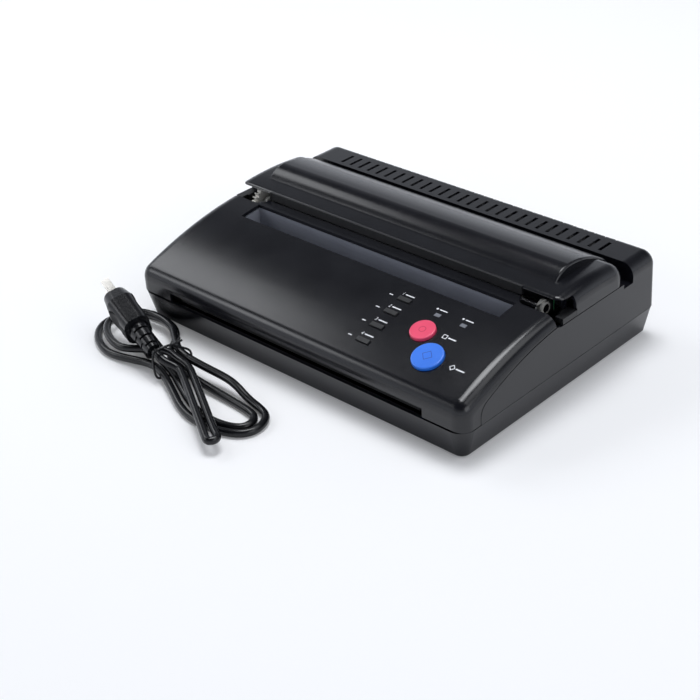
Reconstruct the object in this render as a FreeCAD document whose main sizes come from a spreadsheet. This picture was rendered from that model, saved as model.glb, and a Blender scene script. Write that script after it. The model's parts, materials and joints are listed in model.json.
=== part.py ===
import FreeCAD, Part
import math
import os
import Sketcher

from FreeCAD import Rotation, Vector

# Desktop thermal stencil copier, as an assembly of separate pieces.
# Millimetres. +X is the operator's right, +Y is the back, +Z is up.
# The origin is on the table, under the middle of the machine's outline.

sizes = {
    # Whole machine
    "body_width": 310,
    "body_depth": 208,
    "parting_height": 22,
    "skin": 2.4,
    "shoulder_radius": 9.5,
    "seam_gap": 0.5,
    "overrun": 3,
    "fit_gap": 0.3,
    "shaft_gap": 0.05,

    # Tray and feet
    "foot_height": 1.5,
    "foot_radius": 7,
    "foot_inset": 24,
    "tray_floor": 2.5,
    "tray_inset": 5,
    "tray_lip_gap": 0.3,
    "tray_front_radius": 11,
    "tray_rear_radius": 6,
    "board_post_height": 4,
    "board_post_radius": 3,
    "sensor_rib_height": 8,
    "sensor_rib_width": 3,

    # Operation panel
    "nose_height": 31.9,
    "panel_crown_y_share": 0.08558,
    "panel_rear_y_share": -0.00721,
    "panel_rear_height": 64,
    "nose_radius": 11.5,
    "seam_foot_y_share": -0.41827,
    "seam_foot_height": 27.3,
    "seam_bend_y_share": -0.38942,
    "seam_bend_height": 36.7,
    "seam_bend_radius": 10.4,
    "seam_end_y_share": -0.03846,
    "seam_end_height": 56,
    "seam_radius": 215,
    "panel_front_relief": 0.9,
    "panel_pivot_inset": 2.8,
    "panel_pivot_height": 24.2,
    "panel_pivot_side_inset": 29,
    "panel_pin_radius": 1,
    "panel_lug_radius": 1.7,
    "pivot_post_front": 0.4,
    "pivot_post_reach": 4,
    "panel_lug_width": 3,
    "panel_lug_height": 4,
    "notch_start_inset": 35,
    "notch_bend_inset": 27,
    "notch_depth": 7.5,
    "notch_bend_radius": 8.6,

    # Feed opening, its chute and the delivery slot
    "feed_margin": 65,
    "feed_front_y_share": -0.13462,
    "feed_back_y_share": -0.04808,
    "chute_wall": 2,
    "chute_top_gap": 0.2,
    "chute_bend_height": 42,
    "chute_tip_y_share": -0.08654,
    "chute_tip_height": 28.5,
    "chute_bend_radius": 22,
    "chute_front_bottom_y_share": -0.11058,
    "chute_front_bottom_height": 44,
    "delivery_margin": 68,
    "delivery_top": 29.5,

    # Keys, buttons and lamps
    "key_inset": 99.5,
    "key_first_y_share": -0.21538,
    "key_pitch": 13.8,
    "key_length": 10.5,
    "key_width": 3.5,
    "key_rise": 1,
    "key_travel": 0.8,
    "stop_inset": 67.7,
    "stop_y_share": -0.30096,
    "stop_radius": 9,
    "copy_inset": 49.4,
    "copy_y_share": -0.37981,
    "copy_radius": 11.2,
    "button_rise": 2.2,
    "button_travel": 1.2,
    "button_edge": 0.9,
    "lamp_y_share": -0.22212,
    "stop_lamp_inset": 69.3,
    "copy_lamp_inset": 47.2,
    "lamp_length": 4.6,
    "lamp_width": 3,
    "lamp_rise": 0.2,
    "button_gap": 0.35,
    "flange_lip": 1,
    "flange_thickness": 1,
    "stem_radius": 1.6,
    "board_depth": 9.4,
    "board_thickness": 1.6,
    "control_board_left_inset": 115,
    "control_board_right_inset": 31,
    "control_board_mid_y_share": -0.3101,
    "control_board_length": 50,
    "switch_width": 6,
    "switch_height": 2.6,
    "switch_gap": 0.2,

    # Rear housing
    "housing_height": 64.5,
    "block_front_y_share": 0.37019,
    "groove_front_y_share": 0.31731,
    "groove_height": 51,
    "sill_height": 54.3,
    "sill_front_y_share": -0.01923,
    "rear_edge_radius": 5,
    "vent_count": 28,
    "vent_margin": 63,
    "vent_width": 2.6,
    "vent_front_y_share": 0.38942,
    "vent_back_y_share": 0.45433,
    "rear_vent_low": 50,
    "rear_vent_inset": 4.6,
    "inlet_inset": 50,
    "inlet_z": 38,
    "inlet_width": 19,
    "inlet_height": 13,
    "inlet_depth": 16,
    "inlet_bezel": 3,
    "inlet_bezel_thickness": 2,
    "inlet_pin_radius": 1.2,
    "inlet_pin_pitch": 8.6,
    "inlet_pin_length": 9,
    "inlet_cavity_depth": 11,
    "inlet_cavity_wall": 2.2,
    "switch_inset": 87,
    "switch_z": 38,
    "switch_hole_width": 13,
    "switch_hole_height": 19,
    "switch_depth": 14,
    "rocker_gap": 0.5,
    "rocker_wall": 1.2,
    "rocker_pivot_depth": 2.4,
    "rocker_swing": 16,
    "rocker_pin_radius": 1,

    # Lid
    "lid_front_y_share": -0.0024,
    "lid_bottom": 54.9,
    "lid_front_height": 68,
    "lid_crown_y_share": 0.14423,
    "lid_crown_height": 72.6,
    "lid_shelf_radius": 230,
    "lid_rear_y_share": 0.32692,
    "lid_rear_radius": 12,
    "lid_nose_radius": 3.4,
    "dome_inset": 19,
    "dome_front_radius": 19.4,
    "dome_top": 79.4,
    "dome_lip_height": 60.8,
    "dome_rear_y_share": 0.35721,
    "dome_lip_radius": 4,
    "dome_lip_bottom": 58,
    "dome_end_radius": 1.6,
    "notch_ceiling": 69.4,
    "notch_back_y_share": 0.05769,
    "lid_pivot_y_share": 0.31731,
    "lid_pivot_z": 60,
    "lid_lug_radius": 4,
    "lid_lug_inner_inset": 27.6,
    "lid_lug_outer_inset": 24.4,
    "lid_pin_radius": 2,
    "lid_boss_inset": 59,
    "lid_boss_radius": 4,
    "tear_bar_inset": 35.4,
    "tear_bar_depth": 2.2,
    "tear_bar_bottom": 64.3,
    "tear_bar_top": 70.6,

    # Lid latch levers
    "lever_inset": 6,
    "lever_proud": 0.4,
    "lever_front_y_share": -0.01442,
    "lever_back_y_share": 0.0601,
    "lever_bottom": 55.4,
    "lever_top": 59.4,
    "lever_pivot_y_share": 0.04808,
    "lever_pivot_z": 57.2,
    "lever_pin_radius": 1.2,
    "lever_arm_inset": 7.4,
    "lever_arm_front_y_share": 0.01154,
    "lever_arm_back_y_share": 0.02692,
    "lever_arm_bottom": 41,
    "lever_nib_depth": 1.4,
    "lever_nib_height": 3,
    "catch_height": 43.5,
    "catch_thickness": 3,
    "catch_length": 6,

    # Chassis plates and bushes
    "plate_inset": 24,
    "plate_thickness": 1.2,
    "plate_front_y_share": -0.44231,
    "plate_front_top": 38,
    "plate_step_y_share": -0.03846,
    "plate_mid_top": 44,
    "plate_platen_top": 59,
    "plate_platen_back_y_share": 0.08173,
    "plate_low_top": 48,
    "plate_arm_y_share": 0.22115,
    "plate_rear_y_share": 0.27885,
    "bush_flange_radius": 5.5,
    "bush_hub_radius": 4.5,
    "bush_flange_thickness": 2,
    "bush_hub_length": 2.4,

    # Platen and print head
    "platen_y_share": 0.03846,
    "platen_z": 55,
    "platen_radius": 8,
    "platen_inset": 47,
    "platen_shaft_radius": 3,
    "head_inset": 45,
    "ceramic_front_y_share": 0.02163,
    "ceramic_back_y_share": 0.10577,
    "ceramic_thickness": 1.1,
    "heat_sink_back_y_share": 0.14423,
    "heat_sink_thickness": 3,
    "fin_count": 12,
    "fin_height": 2.4,
    "fin_width": 4,
    "head_spring_height": 6.6,
    "head_spring_radius": 2.6,
    "spring_wire_radius": 0.4,
    "spring_turns": 4,
    "spring_pitch_x_share": 0.25806,
    "spring_y_share": 0.1226,
    "head_travel": 0.7,
    "bracket_inset": 43,
    "bracket_front_y_share": 0.10865,
    "bracket_back_y_share": 0.21154,
    "bracket_thickness": 1.2,
    "bracket_flange": 8,

    # Document feed
    "document_y_share": -0.14423,
    "document_z": 33,
    "document_radius": 6,
    "document_inset": 46,
    "document_shaft_radius": 2.5,
    "sensor_inset": 43,
    "sensor_front_y_share": -0.19231,
    "sensor_back_y_share": -0.09615,
    "sensor_top": 25.2,
    "glass_inset": 2,
    "glass_thickness": 1.5,
    "guide_inset": 40,
    "guide_back_y_share": -0.19712,
    "guide_front_y_share": -0.47596,
    "guide_back_top": 25.4,
    "guide_front_top": 24.4,
    "guide_thickness": 1.5,
    "guide_leg_front_y_share": -0.45192,
    "exit_y_share": -0.40385,
    "exit_z": 31,
    "exit_radius": 5,
    "exit_shaft_radius": 2,
    "tyre_width": 14,
    "tyre_inner_x_share": 0.09677,
    "tyre_outer_x_share": 0.27419,
    "pinch_radius": 3.5,
    "pinch_shaft_radius": 1.25,
    "pinch_width": 11,
    "pinch_shaft_inset": 38,
    "pinch_window": 14,
    "pinch_window_length": 10,
    "stencil_guide_front_y_share": 0.09615,
    "stencil_guide_front_z": 60.2,
    "stencil_guide_thickness": 1.2,

    # Gears
    "gear_module": 1,
    "gear_width": 4,
    "gear_start": 3,
    "gear_backlash": 0.12,
    "stud_radius": 2,
    "stud_head_radius": 3.4,
    "stud_head_thickness": 1,
    "first_stud_y_share": 0.07067,
    "pinion_bore_radius": 1,
    "motor_radius": 17.5,
    "motor_length": 20,
    "motor_y_lean": 18.2,
    "motor_boss_radius": 5,
    "motor_shaft_depth": 6,

    # Boards
    "main_board_left_inset": 51,
    "main_board_right_inset": 111,
    "power_board_left_inset": 101,
    "power_board_right_inset": 29,
    "boards_front_y_share": 0.10577,
    "boards_back_y_share": 0.43269,
    "chip_size": 20,
    "chip_height": 2.4,
    "capacitor_radius": 8,
    "capacitor_height": 22,
    "transformer_size": 24,
    "socket_length": 30,
    "socket_width": 6,
    "socket_height": 6,
    "screw_radius": 1.5,
    "screw_head_radius": 3,
    "screw_head_height": 2,
    "screw_length": 12,
    "screw_side_inset": 10,
    "screw_rear_inset": 14,
    "screw_front_inset": 30,
    "boss_radius": 4,

    # Mains cord set, which lies apart on the table
    "cord_radius": 2.8,
    "cord_step": 6.3,
    "cord_layer": 6.5,
    "hank_x": -78,
    "hank_y": -147,
    "hank_lean": -13.8,
    "hank_start_u": -16,
    "hank_start_v": 2,
    "hank_waist_u": -2,
    "wide_lean": 6,
    "wide_turn": 84,
    "wide_reach": 102.5,
    "wide_half": 17.8,
    "wide_belly": 14.5,
    "inner_reach": 95,
    "inner_half": 10.7,
    "inner_belly": 7,
    "belly_u": 58,
    "heel_lean": 22,
    "climb_u": 46,
    "climb_v": 22.5,
    "climb_lean": 9,
    "left_rise": 3.3,
    "left_reach": 89.2,
    "left_half": 26.4,
    "left_turn": 52,
    "top_left_reach": 80,
    "top_left_half": 21,
    "top_left_turn": 46,
    "narrow_lean": -15.7,
    "narrow_u": 22,
    "narrow_v": 3.7,
    "narrow_reach": 85.5,
    "narrow_half": 3.3,
    "narrow_end": 6,
    "plug_u": -2.5,
    "plug_v": -6.8,
    "plug_lift": 19.5,
    "plug_end_u": -66,
    "plug_end_v": -4.6,
    "plug_end_lift": 32,
    "plug_roll": 78,
    "relief_length": 27,
    "relief_tip_radius": 5,
    "relief_rear_radius": 8,
    "relief_slots": 6,
    "relief_slot_depth": 1.4,
    "relief_slot_share": 0.45,
    "relief_slot_height_share": 0.7,
    "plug_width": 25,
    "plug_height": 21,
    "plug_corner_share": 0.36,
    "plug_neck_share": 0.9,
    "plug_front_share": 0.7,
    "plug_nose_share": 0.8,
    "plug_scoop_radius": 14,
    "plug_scoop_depth": 4.5,
    "plug_scoop_share": 0.4,
    "blade_length": 17,
    "blade_width": 6.3,
    "blade_thickness": 1.5,
    "blade_pitch": 12.7,
    "connector_length": 24,
    "connector_width": 14.5,
    "connector_height": 8,
    "connector_corner_share": 0.42,
    "connector_socket": 12,
    "tie_radius": 0.8,
    "tie_margin": 0.5,
    "tie_tail": 15,
}

teeth = {
    "platen": 20,
    "first_idler": 26,
    "motor": 12,
    "second_idler": 24,
    "document": 18,
    "third_idler": 38,
    "exit": 16,
}

doc = FreeCAD.newDocument("StencilCopier")
sheet = doc.addObject("Spreadsheet::Sheet", "Sizes")
for row, (alias, number) in enumerate(sizes.items(), start=1):
    sheet.set("A%d" % row, alias)
    sheet.set("B%d" % row, str(number))
    sheet.setAlias("B%d" % row, alias)
doc.recompute()


class Size:
    # A size from the sheet, or a formula of such sizes: its value and its text.
    def __init__(self, value, text):
        self.value = value
        self.text = text

    def __float__(self):
        return self.value

    def __add__(self, other):
        return formula(self, "+", other, self.value + float(other))

    def __radd__(self, other):
        return formula(other, "+", self, float(other) + self.value)

    def __sub__(self, other):
        return formula(self, "-", other, self.value - float(other))

    def __rsub__(self, other):
        return formula(other, "-", self, float(other) - self.value)

    def __mul__(self, other):
        return formula(self, "*", other, self.value * float(other))

    def __rmul__(self, other):
        return formula(other, "*", self, float(other) * self.value)

    def __truediv__(self, other):
        return formula(self, "/", other, self.value / float(other))

    def __rtruediv__(self, other):
        return formula(other, "/", self, float(other) / self.value)

    def __neg__(self):
        return Size(-self.value, "(0 - %s)" % self.text)


def text_of(item):
    return item.text if isinstance(item, Size) else repr(item)


def formula(left, sign, right, value):
    return Size(value, "(%s %s %s)" % (text_of(left), sign, text_of(right)))


def root(item):
    return Size(math.sqrt(item.value), "sqrt(%s)" % item.text)


def arcsine(item):
    return Size(math.degrees(math.asin(item.value)), "(asin(%s) / 1deg)" % item.text)


class Sheet:
    # The sheet's cells as named sizes.
    def __getattr__(self, alias):
        return Size(float(sheet.get(alias)), "Sizes." + alias)


size = Sheet()
half_width = size.body_width / 2
half_depth = size.body_depth / 2
nought = size.skin * 0


# Places along the body, as shares of its depth

panel_crown_y = size.body_depth * size.panel_crown_y_share
panel_rear_y = size.body_depth * size.panel_rear_y_share
seam_foot_y = size.body_depth * size.seam_foot_y_share
seam_bend_y = size.body_depth * size.seam_bend_y_share
seam_end_y = size.body_depth * size.seam_end_y_share
feed_front_y = size.body_depth * size.feed_front_y_share
feed_back_y = size.body_depth * size.feed_back_y_share
chute_tip_y = size.body_depth * size.chute_tip_y_share
chute_front_bottom_y = size.body_depth * size.chute_front_bottom_y_share
key_first_y = size.body_depth * size.key_first_y_share
stop_y = size.body_depth * size.stop_y_share
copy_y = size.body_depth * size.copy_y_share
lamp_y = size.body_depth * size.lamp_y_share
control_board_mid_y = size.body_depth * size.control_board_mid_y_share
block_front_y = size.body_depth * size.block_front_y_share
groove_front_y = size.body_depth * size.groove_front_y_share
sill_front_y = size.body_depth * size.sill_front_y_share
vent_front_y = size.body_depth * size.vent_front_y_share
vent_back_y = size.body_depth * size.vent_back_y_share
lid_front_y = size.body_depth * size.lid_front_y_share
lid_crown_y = size.body_depth * size.lid_crown_y_share
lid_rear_y = size.body_depth * size.lid_rear_y_share
dome_rear_y = size.body_depth * size.dome_rear_y_share
notch_back_y = size.body_depth * size.notch_back_y_share
lid_pivot_y = size.body_depth * size.lid_pivot_y_share
lever_front_y = size.body_depth * size.lever_front_y_share
lever_back_y = size.body_depth * size.lever_back_y_share
lever_pivot_y = size.body_depth * size.lever_pivot_y_share
lever_arm_front_y = size.body_depth * size.lever_arm_front_y_share
lever_arm_back_y = size.body_depth * size.lever_arm_back_y_share
plate_front_y = size.body_depth * size.plate_front_y_share
plate_step_y = size.body_depth * size.plate_step_y_share
plate_platen_back_y = size.body_depth * size.plate_platen_back_y_share
plate_arm_y = size.body_depth * size.plate_arm_y_share
plate_rear_y = size.body_depth * size.plate_rear_y_share
platen_y = size.body_depth * size.platen_y_share
ceramic_front_y = size.body_depth * size.ceramic_front_y_share
ceramic_back_y = size.body_depth * size.ceramic_back_y_share
heat_sink_back_y = size.body_depth * size.heat_sink_back_y_share
spring_y = size.body_depth * size.spring_y_share
bracket_front_y = size.body_depth * size.bracket_front_y_share
bracket_back_y = size.body_depth * size.bracket_back_y_share
document_y = size.body_depth * size.document_y_share
sensor_front_y = size.body_depth * size.sensor_front_y_share
sensor_back_y = size.body_depth * size.sensor_back_y_share
guide_back_y = size.body_depth * size.guide_back_y_share
guide_front_y = size.body_depth * size.guide_front_y_share
guide_leg_front_y = size.body_depth * size.guide_leg_front_y_share
exit_y = size.body_depth * size.exit_y_share
stencil_guide_front_y = size.body_depth * size.stencil_guide_front_y_share
first_stud_y = size.body_depth * size.first_stud_y_share
boards_front_y = size.body_depth * size.boards_front_y_share
boards_back_y = size.body_depth * size.boards_back_y_share

# Places across the body, counted from its sides

plate_inner = half_width - size.plate_inset
dome_half = half_width - size.dome_inset
notch_start_x = half_width - size.notch_start_inset
notch_bend_x = half_width - size.notch_bend_inset
tear_bar_half = half_width - size.tear_bar_inset
panel_pivot_x = half_width - size.panel_pivot_side_inset
platen_half = half_width - size.platen_inset
head_ceramic_half = half_width - size.head_inset
document_half = half_width - size.document_inset
sensor_half = half_width - size.sensor_inset
guide_half = half_width - size.guide_inset
pinch_shaft_half = half_width - size.pinch_shaft_inset
bracket_half = half_width - size.bracket_inset
key_x = half_width - size.key_inset
stop_x = half_width - size.stop_inset
copy_x = half_width - size.copy_inset
stop_lamp_x = half_width - size.stop_lamp_inset
copy_lamp_x = half_width - size.copy_lamp_inset
control_board_left = half_width - size.control_board_left_inset
control_board_right = half_width - size.control_board_right_inset
inlet_x = half_width - size.inlet_inset
switch_x = half_width - size.switch_inset
lid_lug_inner = half_width - size.lid_lug_inner_inset
lid_lug_outer = half_width - size.lid_lug_outer_inset
lid_boss_x = half_width - size.lid_boss_inset
lever_inner = half_width - size.lever_inset
lever_arm_inner = half_width - size.lever_arm_inset
main_board_right = half_width - size.main_board_right_inset
power_board_left = half_width - size.power_board_left_inset
power_board_right = half_width - size.power_board_right_inset
lever_tab_outer = half_width + size.lever_proud
main_board_left = size.main_board_left_inset - half_width
spring_pitch_x = size.body_width * size.spring_pitch_x_share
tyre_inner_x = size.body_width * size.tyre_inner_x_share
tyre_outer_x = size.body_width * size.tyre_outer_x_share
feed_width = size.body_width - size.feed_margin
delivery_width = size.body_width - size.delivery_margin
vent_span = size.body_width - size.vent_margin


def bind(item, name, value):
    # Ties a property to its formula, or sets it where it is a plain number.
    if isinstance(value, Size):
        item.setExpression(name, value.text)
    elif value:
        item.setExpression(name, repr(value))


def place(item, x, y, z):
    bind(item, "Placement.Base.x", x)
    bind(item, "Placement.Base.y", y)
    bind(item, "Placement.Base.z", z)


# Solids that follow the sheet

def box(label, x_low, x_high, y_low, y_high, z_low, z_high):
    item = doc.addObject("Part::Box", label)
    bind(item, "Length", x_high - x_low)
    bind(item, "Width", y_high - y_low)
    bind(item, "Height", z_high - z_low)
    place(item, x_low, y_low, z_low)
    return item


def rod(label, axis, low, high, first, second, radius):
    # A round bar along X, Y or Z from low to high; first and second are its
    # two other coordinates, in the order x, y, z.
    item = doc.addObject("Part::Cylinder", label)
    bind(item, "Radius", radius)
    bind(item, "Height", high - low)
    if axis == "X":
        item.Placement.Rotation = Rotation(Vector(0, 1, 0), 90)
        place(item, low, first, second)
    elif axis == "Y":
        item.Placement.Rotation = Rotation(Vector(1, 0, 0), -90)
        place(item, first, low, second)
    else:
        place(item, first, second, low)
    return item


def joined(label, *pieces):
    item = doc.addObject("Part::MultiFuse", label)
    item.Shapes = list(pieces)
    return item


def shared(label, *pieces):
    item = doc.addObject("Part::MultiCommon", label)
    item.Shapes = list(pieces)
    return item


def group(label, *pieces):
    item = doc.addObject("Part::Compound", label)
    item.Links = list(pieces)
    return item


def cut(label, base, *tools):
    tool = tools[0] if len(tools) == 1 else joined(label + "_tools", *tools)
    item = doc.addObject("Part::Cut", label)
    item.Base = base
    item.Tool = tool
    return item


def middle_of_arc(start, end, radius):
    # A positive radius has its centre on the left of the way from start to end.
    chord = end - start
    left = Vector(-chord.y, chord.x, 0).normalize()
    sag = abs(radius) - math.sqrt(radius * radius - chord.Length ** 2 / 4)
    return (start + end) / 2 - left * math.copysign(sag, radius)


def draw(sketch, outline):
    # Each corner is (across, up) or (across, up, radius of the arc that follows).
    count = len(outline)
    spots = [Vector(float(corner[0]), float(corner[1]), 0) for corner in outline]
    ends = []
    for index, corner in enumerate(outline):
        start = spots[index]
        end = spots[(index + 1) % count]
        if len(corner) == 3:
            middle = middle_of_arc(start, end, float(corner[2]))
            number = sketch.addGeometry(Part.Arc(start, middle, end))
            near = sketch.getPoint(number, 1).distanceToPoint(start)
            far = sketch.getPoint(number, 2).distanceToPoint(start)
            ends.append((1, 2) if near < far else (2, 1))
        else:
            number = sketch.addGeometry(Part.LineSegment(start, end))
            ends.append((1, 2))
    for index, corner in enumerate(outline):
        after = (index + 1) % count
        sketch.addConstraint(Sketcher.Constraint("Coincident", index, ends[index][1], after, ends[after][0]))
        for kind, line, value in (("DistanceX", -2, corner[0]), ("DistanceY", -1, corner[1])):
            if not isinstance(value, Size) and not value:
                sketch.addConstraint(Sketcher.Constraint("PointOnObject", index, ends[index][0], line))
                continue
            name = "%s%d" % (kind, index)
            number = sketch.addConstraint(
                Sketcher.Constraint(kind, -1, 1, index, ends[index][0], float(value)))
            sketch.renameConstraint(number, name)
            bind(sketch, "Constraints." + name, value)
        if len(corner) == 3:
            radius = corner[2]
            number = sketch.addConstraint(Sketcher.Constraint("Radius", index, abs(float(radius))))
            sketch.renameConstraint(number, "Radius%d" % index)
            bind(sketch, "Constraints.Radius%d" % index, radius if float(radius) > 0 else -radius)


def prism(label, axis, outline, low, high, taper=None):
    # A body with one sketch, padded along X, Y or Z from low to high.
    roles = {"X": "YZ_Plane", "Y": "XZ_Plane", "Z": "XY_Plane"}
    body = doc.addObject("PartDesign::Body", label)
    plane = [item for item in body.Origin.OriginFeatures if item.Role == roles[axis]][0]
    sketch = body.newObject("Sketcher::SketchObject", label + "_outline")
    sketch.AttachmentSupport = [(plane, "")]
    sketch.MapMode = "FlatFace"
    draw(sketch, outline)
    pad = body.newObject("PartDesign::Pad", label + "_pad")
    pad.Profile = sketch
    bind(pad, "Length", high - low)
    if taper is not None:
        pad.Reversed = True
        bind(pad, "TaperAngle", taper)
        bind(sketch, "AttachmentOffset.Base.z", high)
    else:
        bind(sketch, "AttachmentOffset.Base.z", -high if axis == "Y" else low)
    doc.recompute()
    return body


def soften(body, name, wanted, radius):
    # Rounds the edges of the body's last feature whose middles pass the test.
    last = body.Tip
    edges = ["Edge%d" % (number + 1) for number, edge in enumerate(last.Shape.Edges)
             if wanted(edge.CenterOfMass, edge)]
    round_edge = body.newObject("PartDesign::Fillet", body.Name + "_" + name)
    round_edge.Base = (last, edges)
    bind(round_edge, "Radius", radius)
    body.Tip = round_edge
    doc.recompute()
    return body


def on_plane(value, place_of):
    # True where a coordinate lies on a plane, within a small share of the width.
    close_share = 0.0005
    return abs(value - float(place_of)) < close_share * float(size.body_width)


def feature(label, shape, placement=FreeCAD.Placement()):
    item = doc.addObject("Part::Feature", label)
    item.Shape = shape
    item.Placement = placement
    return item


nodes = []


def node(item, label):
    item.Label = label
    nodes.append(item)
    return item


# Panel surface: one arc with its crown at panel_crown_y, from the panel's rear edge
# to a nose arc that touches it from inside. The arc's centre lies at
# level - tilt * radius, which puts both ends on their named heights.

nose_y = size.nose_radius - half_depth
nose_away = nose_y - panel_crown_y
rear_away = panel_rear_y - panel_crown_y
fall = size.panel_rear_height - size.nose_height
tilt = size.nose_radius / fall
level = (size.panel_rear_height * size.panel_rear_height - size.nose_height * size.nose_height
         + rear_away * rear_away - nose_away * nose_away
         + size.nose_radius * size.nose_radius) / (fall * 2)
rise = size.panel_rear_height - level
panel_radius = (tilt * rise + root(rise * rise + (1 - tilt * tilt) * rear_away * rear_away)) / (1 - tilt * tilt)
panel_centre_z = level - tilt * panel_radius


def panel_height(y, inset=0):
    radius = panel_radius - inset
    away = y - panel_crown_y
    return panel_centre_z + root(radius * radius - away * away)


def panel_outline(inset, rear, bottom):
    radius = panel_radius - inset
    nose = size.nose_radius - inset
    span = panel_radius - size.nose_radius
    nose_z = size.nose_height
    join_y = panel_crown_y + (nose_y - panel_crown_y) * radius / span
    join_z = panel_centre_z + (nose_z - panel_centre_z) * radius / span
    return [(rear, panel_height(rear, inset), radius),
            (join_y, join_z, nose),
            (nose_y - nose, nose_z),
            (nose_y - nose, bottom + size.panel_front_relief),
            (nose_y - nose + size.skin, bottom),
            (rear, bottom)]


def seam_points(gap):
    return [(seam_foot_y + gap, size.seam_foot_height - gap / 2, -size.seam_bend_radius),
            (seam_bend_y + gap / 2, size.seam_bend_height - gap, -size.seam_radius),
            (seam_end_y, size.seam_end_height - gap)]


def lean_at(y):
    # Sine and cosine of the panel's forward lean at this place.
    sine = (y - panel_crown_y) / panel_radius
    return sine, root(1 - sine * sine)


def set_on_panel(item, x, y, back, low):
    # Puts an item at x, a distance back along the panel and low above its face.
    sine, cosine = lean_at(y)
    item.Placement.Rotation = Rotation(Vector(1, 0, 0), 1)
    bind(item, "Placement.Rotation.Angle", -arcsine(sine))
    place(item, x,
          y + cosine * back + sine * low,
          panel_height(y) - sine * back + cosine * low)
    return item


def panel_box(label, x, y, length, width, low, high):
    item = doc.addObject("Part::Box", label)
    bind(item, "Length", length)
    bind(item, "Width", width)
    bind(item, "Height", high - low)
    return set_on_panel(item, x - length / 2, y, -width / 2, low)


def panel_rod(label, x, y, radius, low, high):
    item = doc.addObject("Part::Cylinder", label)
    bind(item, "Radius", radius)
    bind(item, "Height", high - low)
    return set_on_panel(item, x, y, nought, low)


# Tray, feet and what stands on the tray's floor

def round_rectangle(x_low, x_high, y_low, y_high, front, rear):
    return [(x_low + front, y_low), (x_high - front, y_low, front),
            (x_high, y_low + front), (x_high, y_high - rear, rear),
            (x_high - rear, y_high), (x_low + rear, y_high, rear),
            (x_low, y_high - rear), (x_low, y_low + front, front)]


tray_top = size.parting_height - size.tray_lip_gap
tray_floor = size.foot_height + size.tray_floor
panel_pivot_y = size.panel_pivot_inset - half_depth
plate_inner = plate_inner
plate_outer = plate_inner + size.plate_thickness


def base_tray():
    inset = Size(math.degrees(math.atan(float(size.tray_inset) / float(tray_top - size.foot_height))),
                 "(0 - atan(%s / %s) / 1deg)" % (size.tray_inset.text, (tray_top - size.foot_height).text))
    inset.value = -inset.value
    outside = prism("tray_outside", "Z", round_rectangle(
        -half_width, half_width, -half_depth, half_depth,
        size.tray_front_radius, size.tray_rear_radius), size.foot_height, tray_top, inset)
    thick = size.skin
    inside = prism("tray_inside", "Z", round_rectangle(
        thick - half_width, half_width - thick, thick - half_depth, half_depth - thick,
        size.tray_front_radius - thick, size.tray_rear_radius - thick),
        tray_floor, tray_top + size.overrun, inset)
    shell = cut("tray_shell", outside, inside)
    stands = []
    for side in (-1, 1):
        inner = side * sensor_half * 2 / 3
        stands.append(box("sensor_rib", inner - size.sensor_rib_width, inner + size.sensor_rib_width,
                          sensor_front_y, sensor_back_y,
                          tray_floor - size.fit_gap, tray_floor + size.sensor_rib_height))
    for left, right in ((main_board_left, main_board_right),
                        (power_board_left, power_board_right)):
        for x in (left + size.boss_radius, right - size.boss_radius):
            for y in (boards_front_y + size.boss_radius, boards_back_y - size.boss_radius):
                stands.append(rod("board_post", "Z", tray_floor - size.fit_gap,
                                  tray_floor + size.board_post_height, x, y, size.board_post_radius))
    for x, y in screw_places():
        stands.append(rod("screw_boss", "Z", tray_floor - size.fit_gap, tray_top, x, y, size.boss_radius))
    for side in (-1, 1):
        low, high = pivot_span(side, nought)
        stands.append(box("pivot_post", low, high,
                          panel_pivot_y - size.pivot_post_front, panel_pivot_y + size.panel_lug_radius,
                          tray_top - size.pivot_post_reach, size.panel_pivot_height))
        stands.append(rod("pivot_eye", "X", low, high, panel_pivot_y, size.panel_pivot_height,
                          size.panel_lug_radius))
    whole = joined("tray_with_stands", shell, *stands)
    holes = []
    for x, y in screw_places():
        holes.append(rod("screw_hole", "Z", nought, tray_top + size.overrun, x, y,
                         size.screw_radius + size.shaft_gap))
        holes.append(rod("screw_sink", "Z", nought, size.foot_height + size.screw_head_height,
                         x, y, size.screw_head_radius + size.shaft_gap))
    reach = panel_pivot_x + size.panel_lug_width + size.overrun
    holes.append(rod("pivot_hole", "X", -reach, reach, panel_pivot_y, size.panel_pivot_height,
                     size.panel_pin_radius + size.shaft_gap))
    for x, y in foot_places():
        holes.append(rod("foot_seat", "Z", nought, size.foot_height + size.fit_gap, x, y,
                         size.foot_radius + size.shaft_gap))
    node(cut("base_tray", whole, *holes), "base_tray")


def pivot_span(side, out):
    # The tray's pivot post, or a lug as wide as it that lies out from it.
    inner = panel_pivot_x + out
    outer = inner + size.panel_lug_width
    return (inner, outer) if side > 0 else (-outer, -inner)


def screw_places():
    across = half_width - size.screw_side_inset
    back = half_depth - size.screw_rear_inset
    front = half_depth - size.screw_front_inset
    return [(across, back), (-across, back), (across, -front), (-across, -front)]


def foot_places():
    across = half_width - size.foot_inset
    along = half_depth - size.foot_inset
    return [(across, along), (-across, along), (across, -along), (-across, -along)]


def rubber_feet():
    feet = [rod("foot", "Z", nought, size.foot_height + size.fit_gap, x, y, size.foot_radius)
            for x, y in foot_places()]
    node(group("rubber_feet", *feet), "rubber_feet")


def case_screws():
    screws = []
    for x, y in screw_places():
        head_bottom = size.foot_height
        shank = rod("shank", "Z", head_bottom, head_bottom + size.screw_length, x, y, size.screw_radius)
        head = rod("head", "Z", head_bottom, head_bottom + size.screw_head_height - size.shaft_gap,
                   x, y, size.screw_head_radius)
        screws.append(joined("case_screw", shank, head))
    node(group("case_screws", *screws), "case_screws")


# Operation panel: the front cover, hinged at its lower front edge

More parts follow.
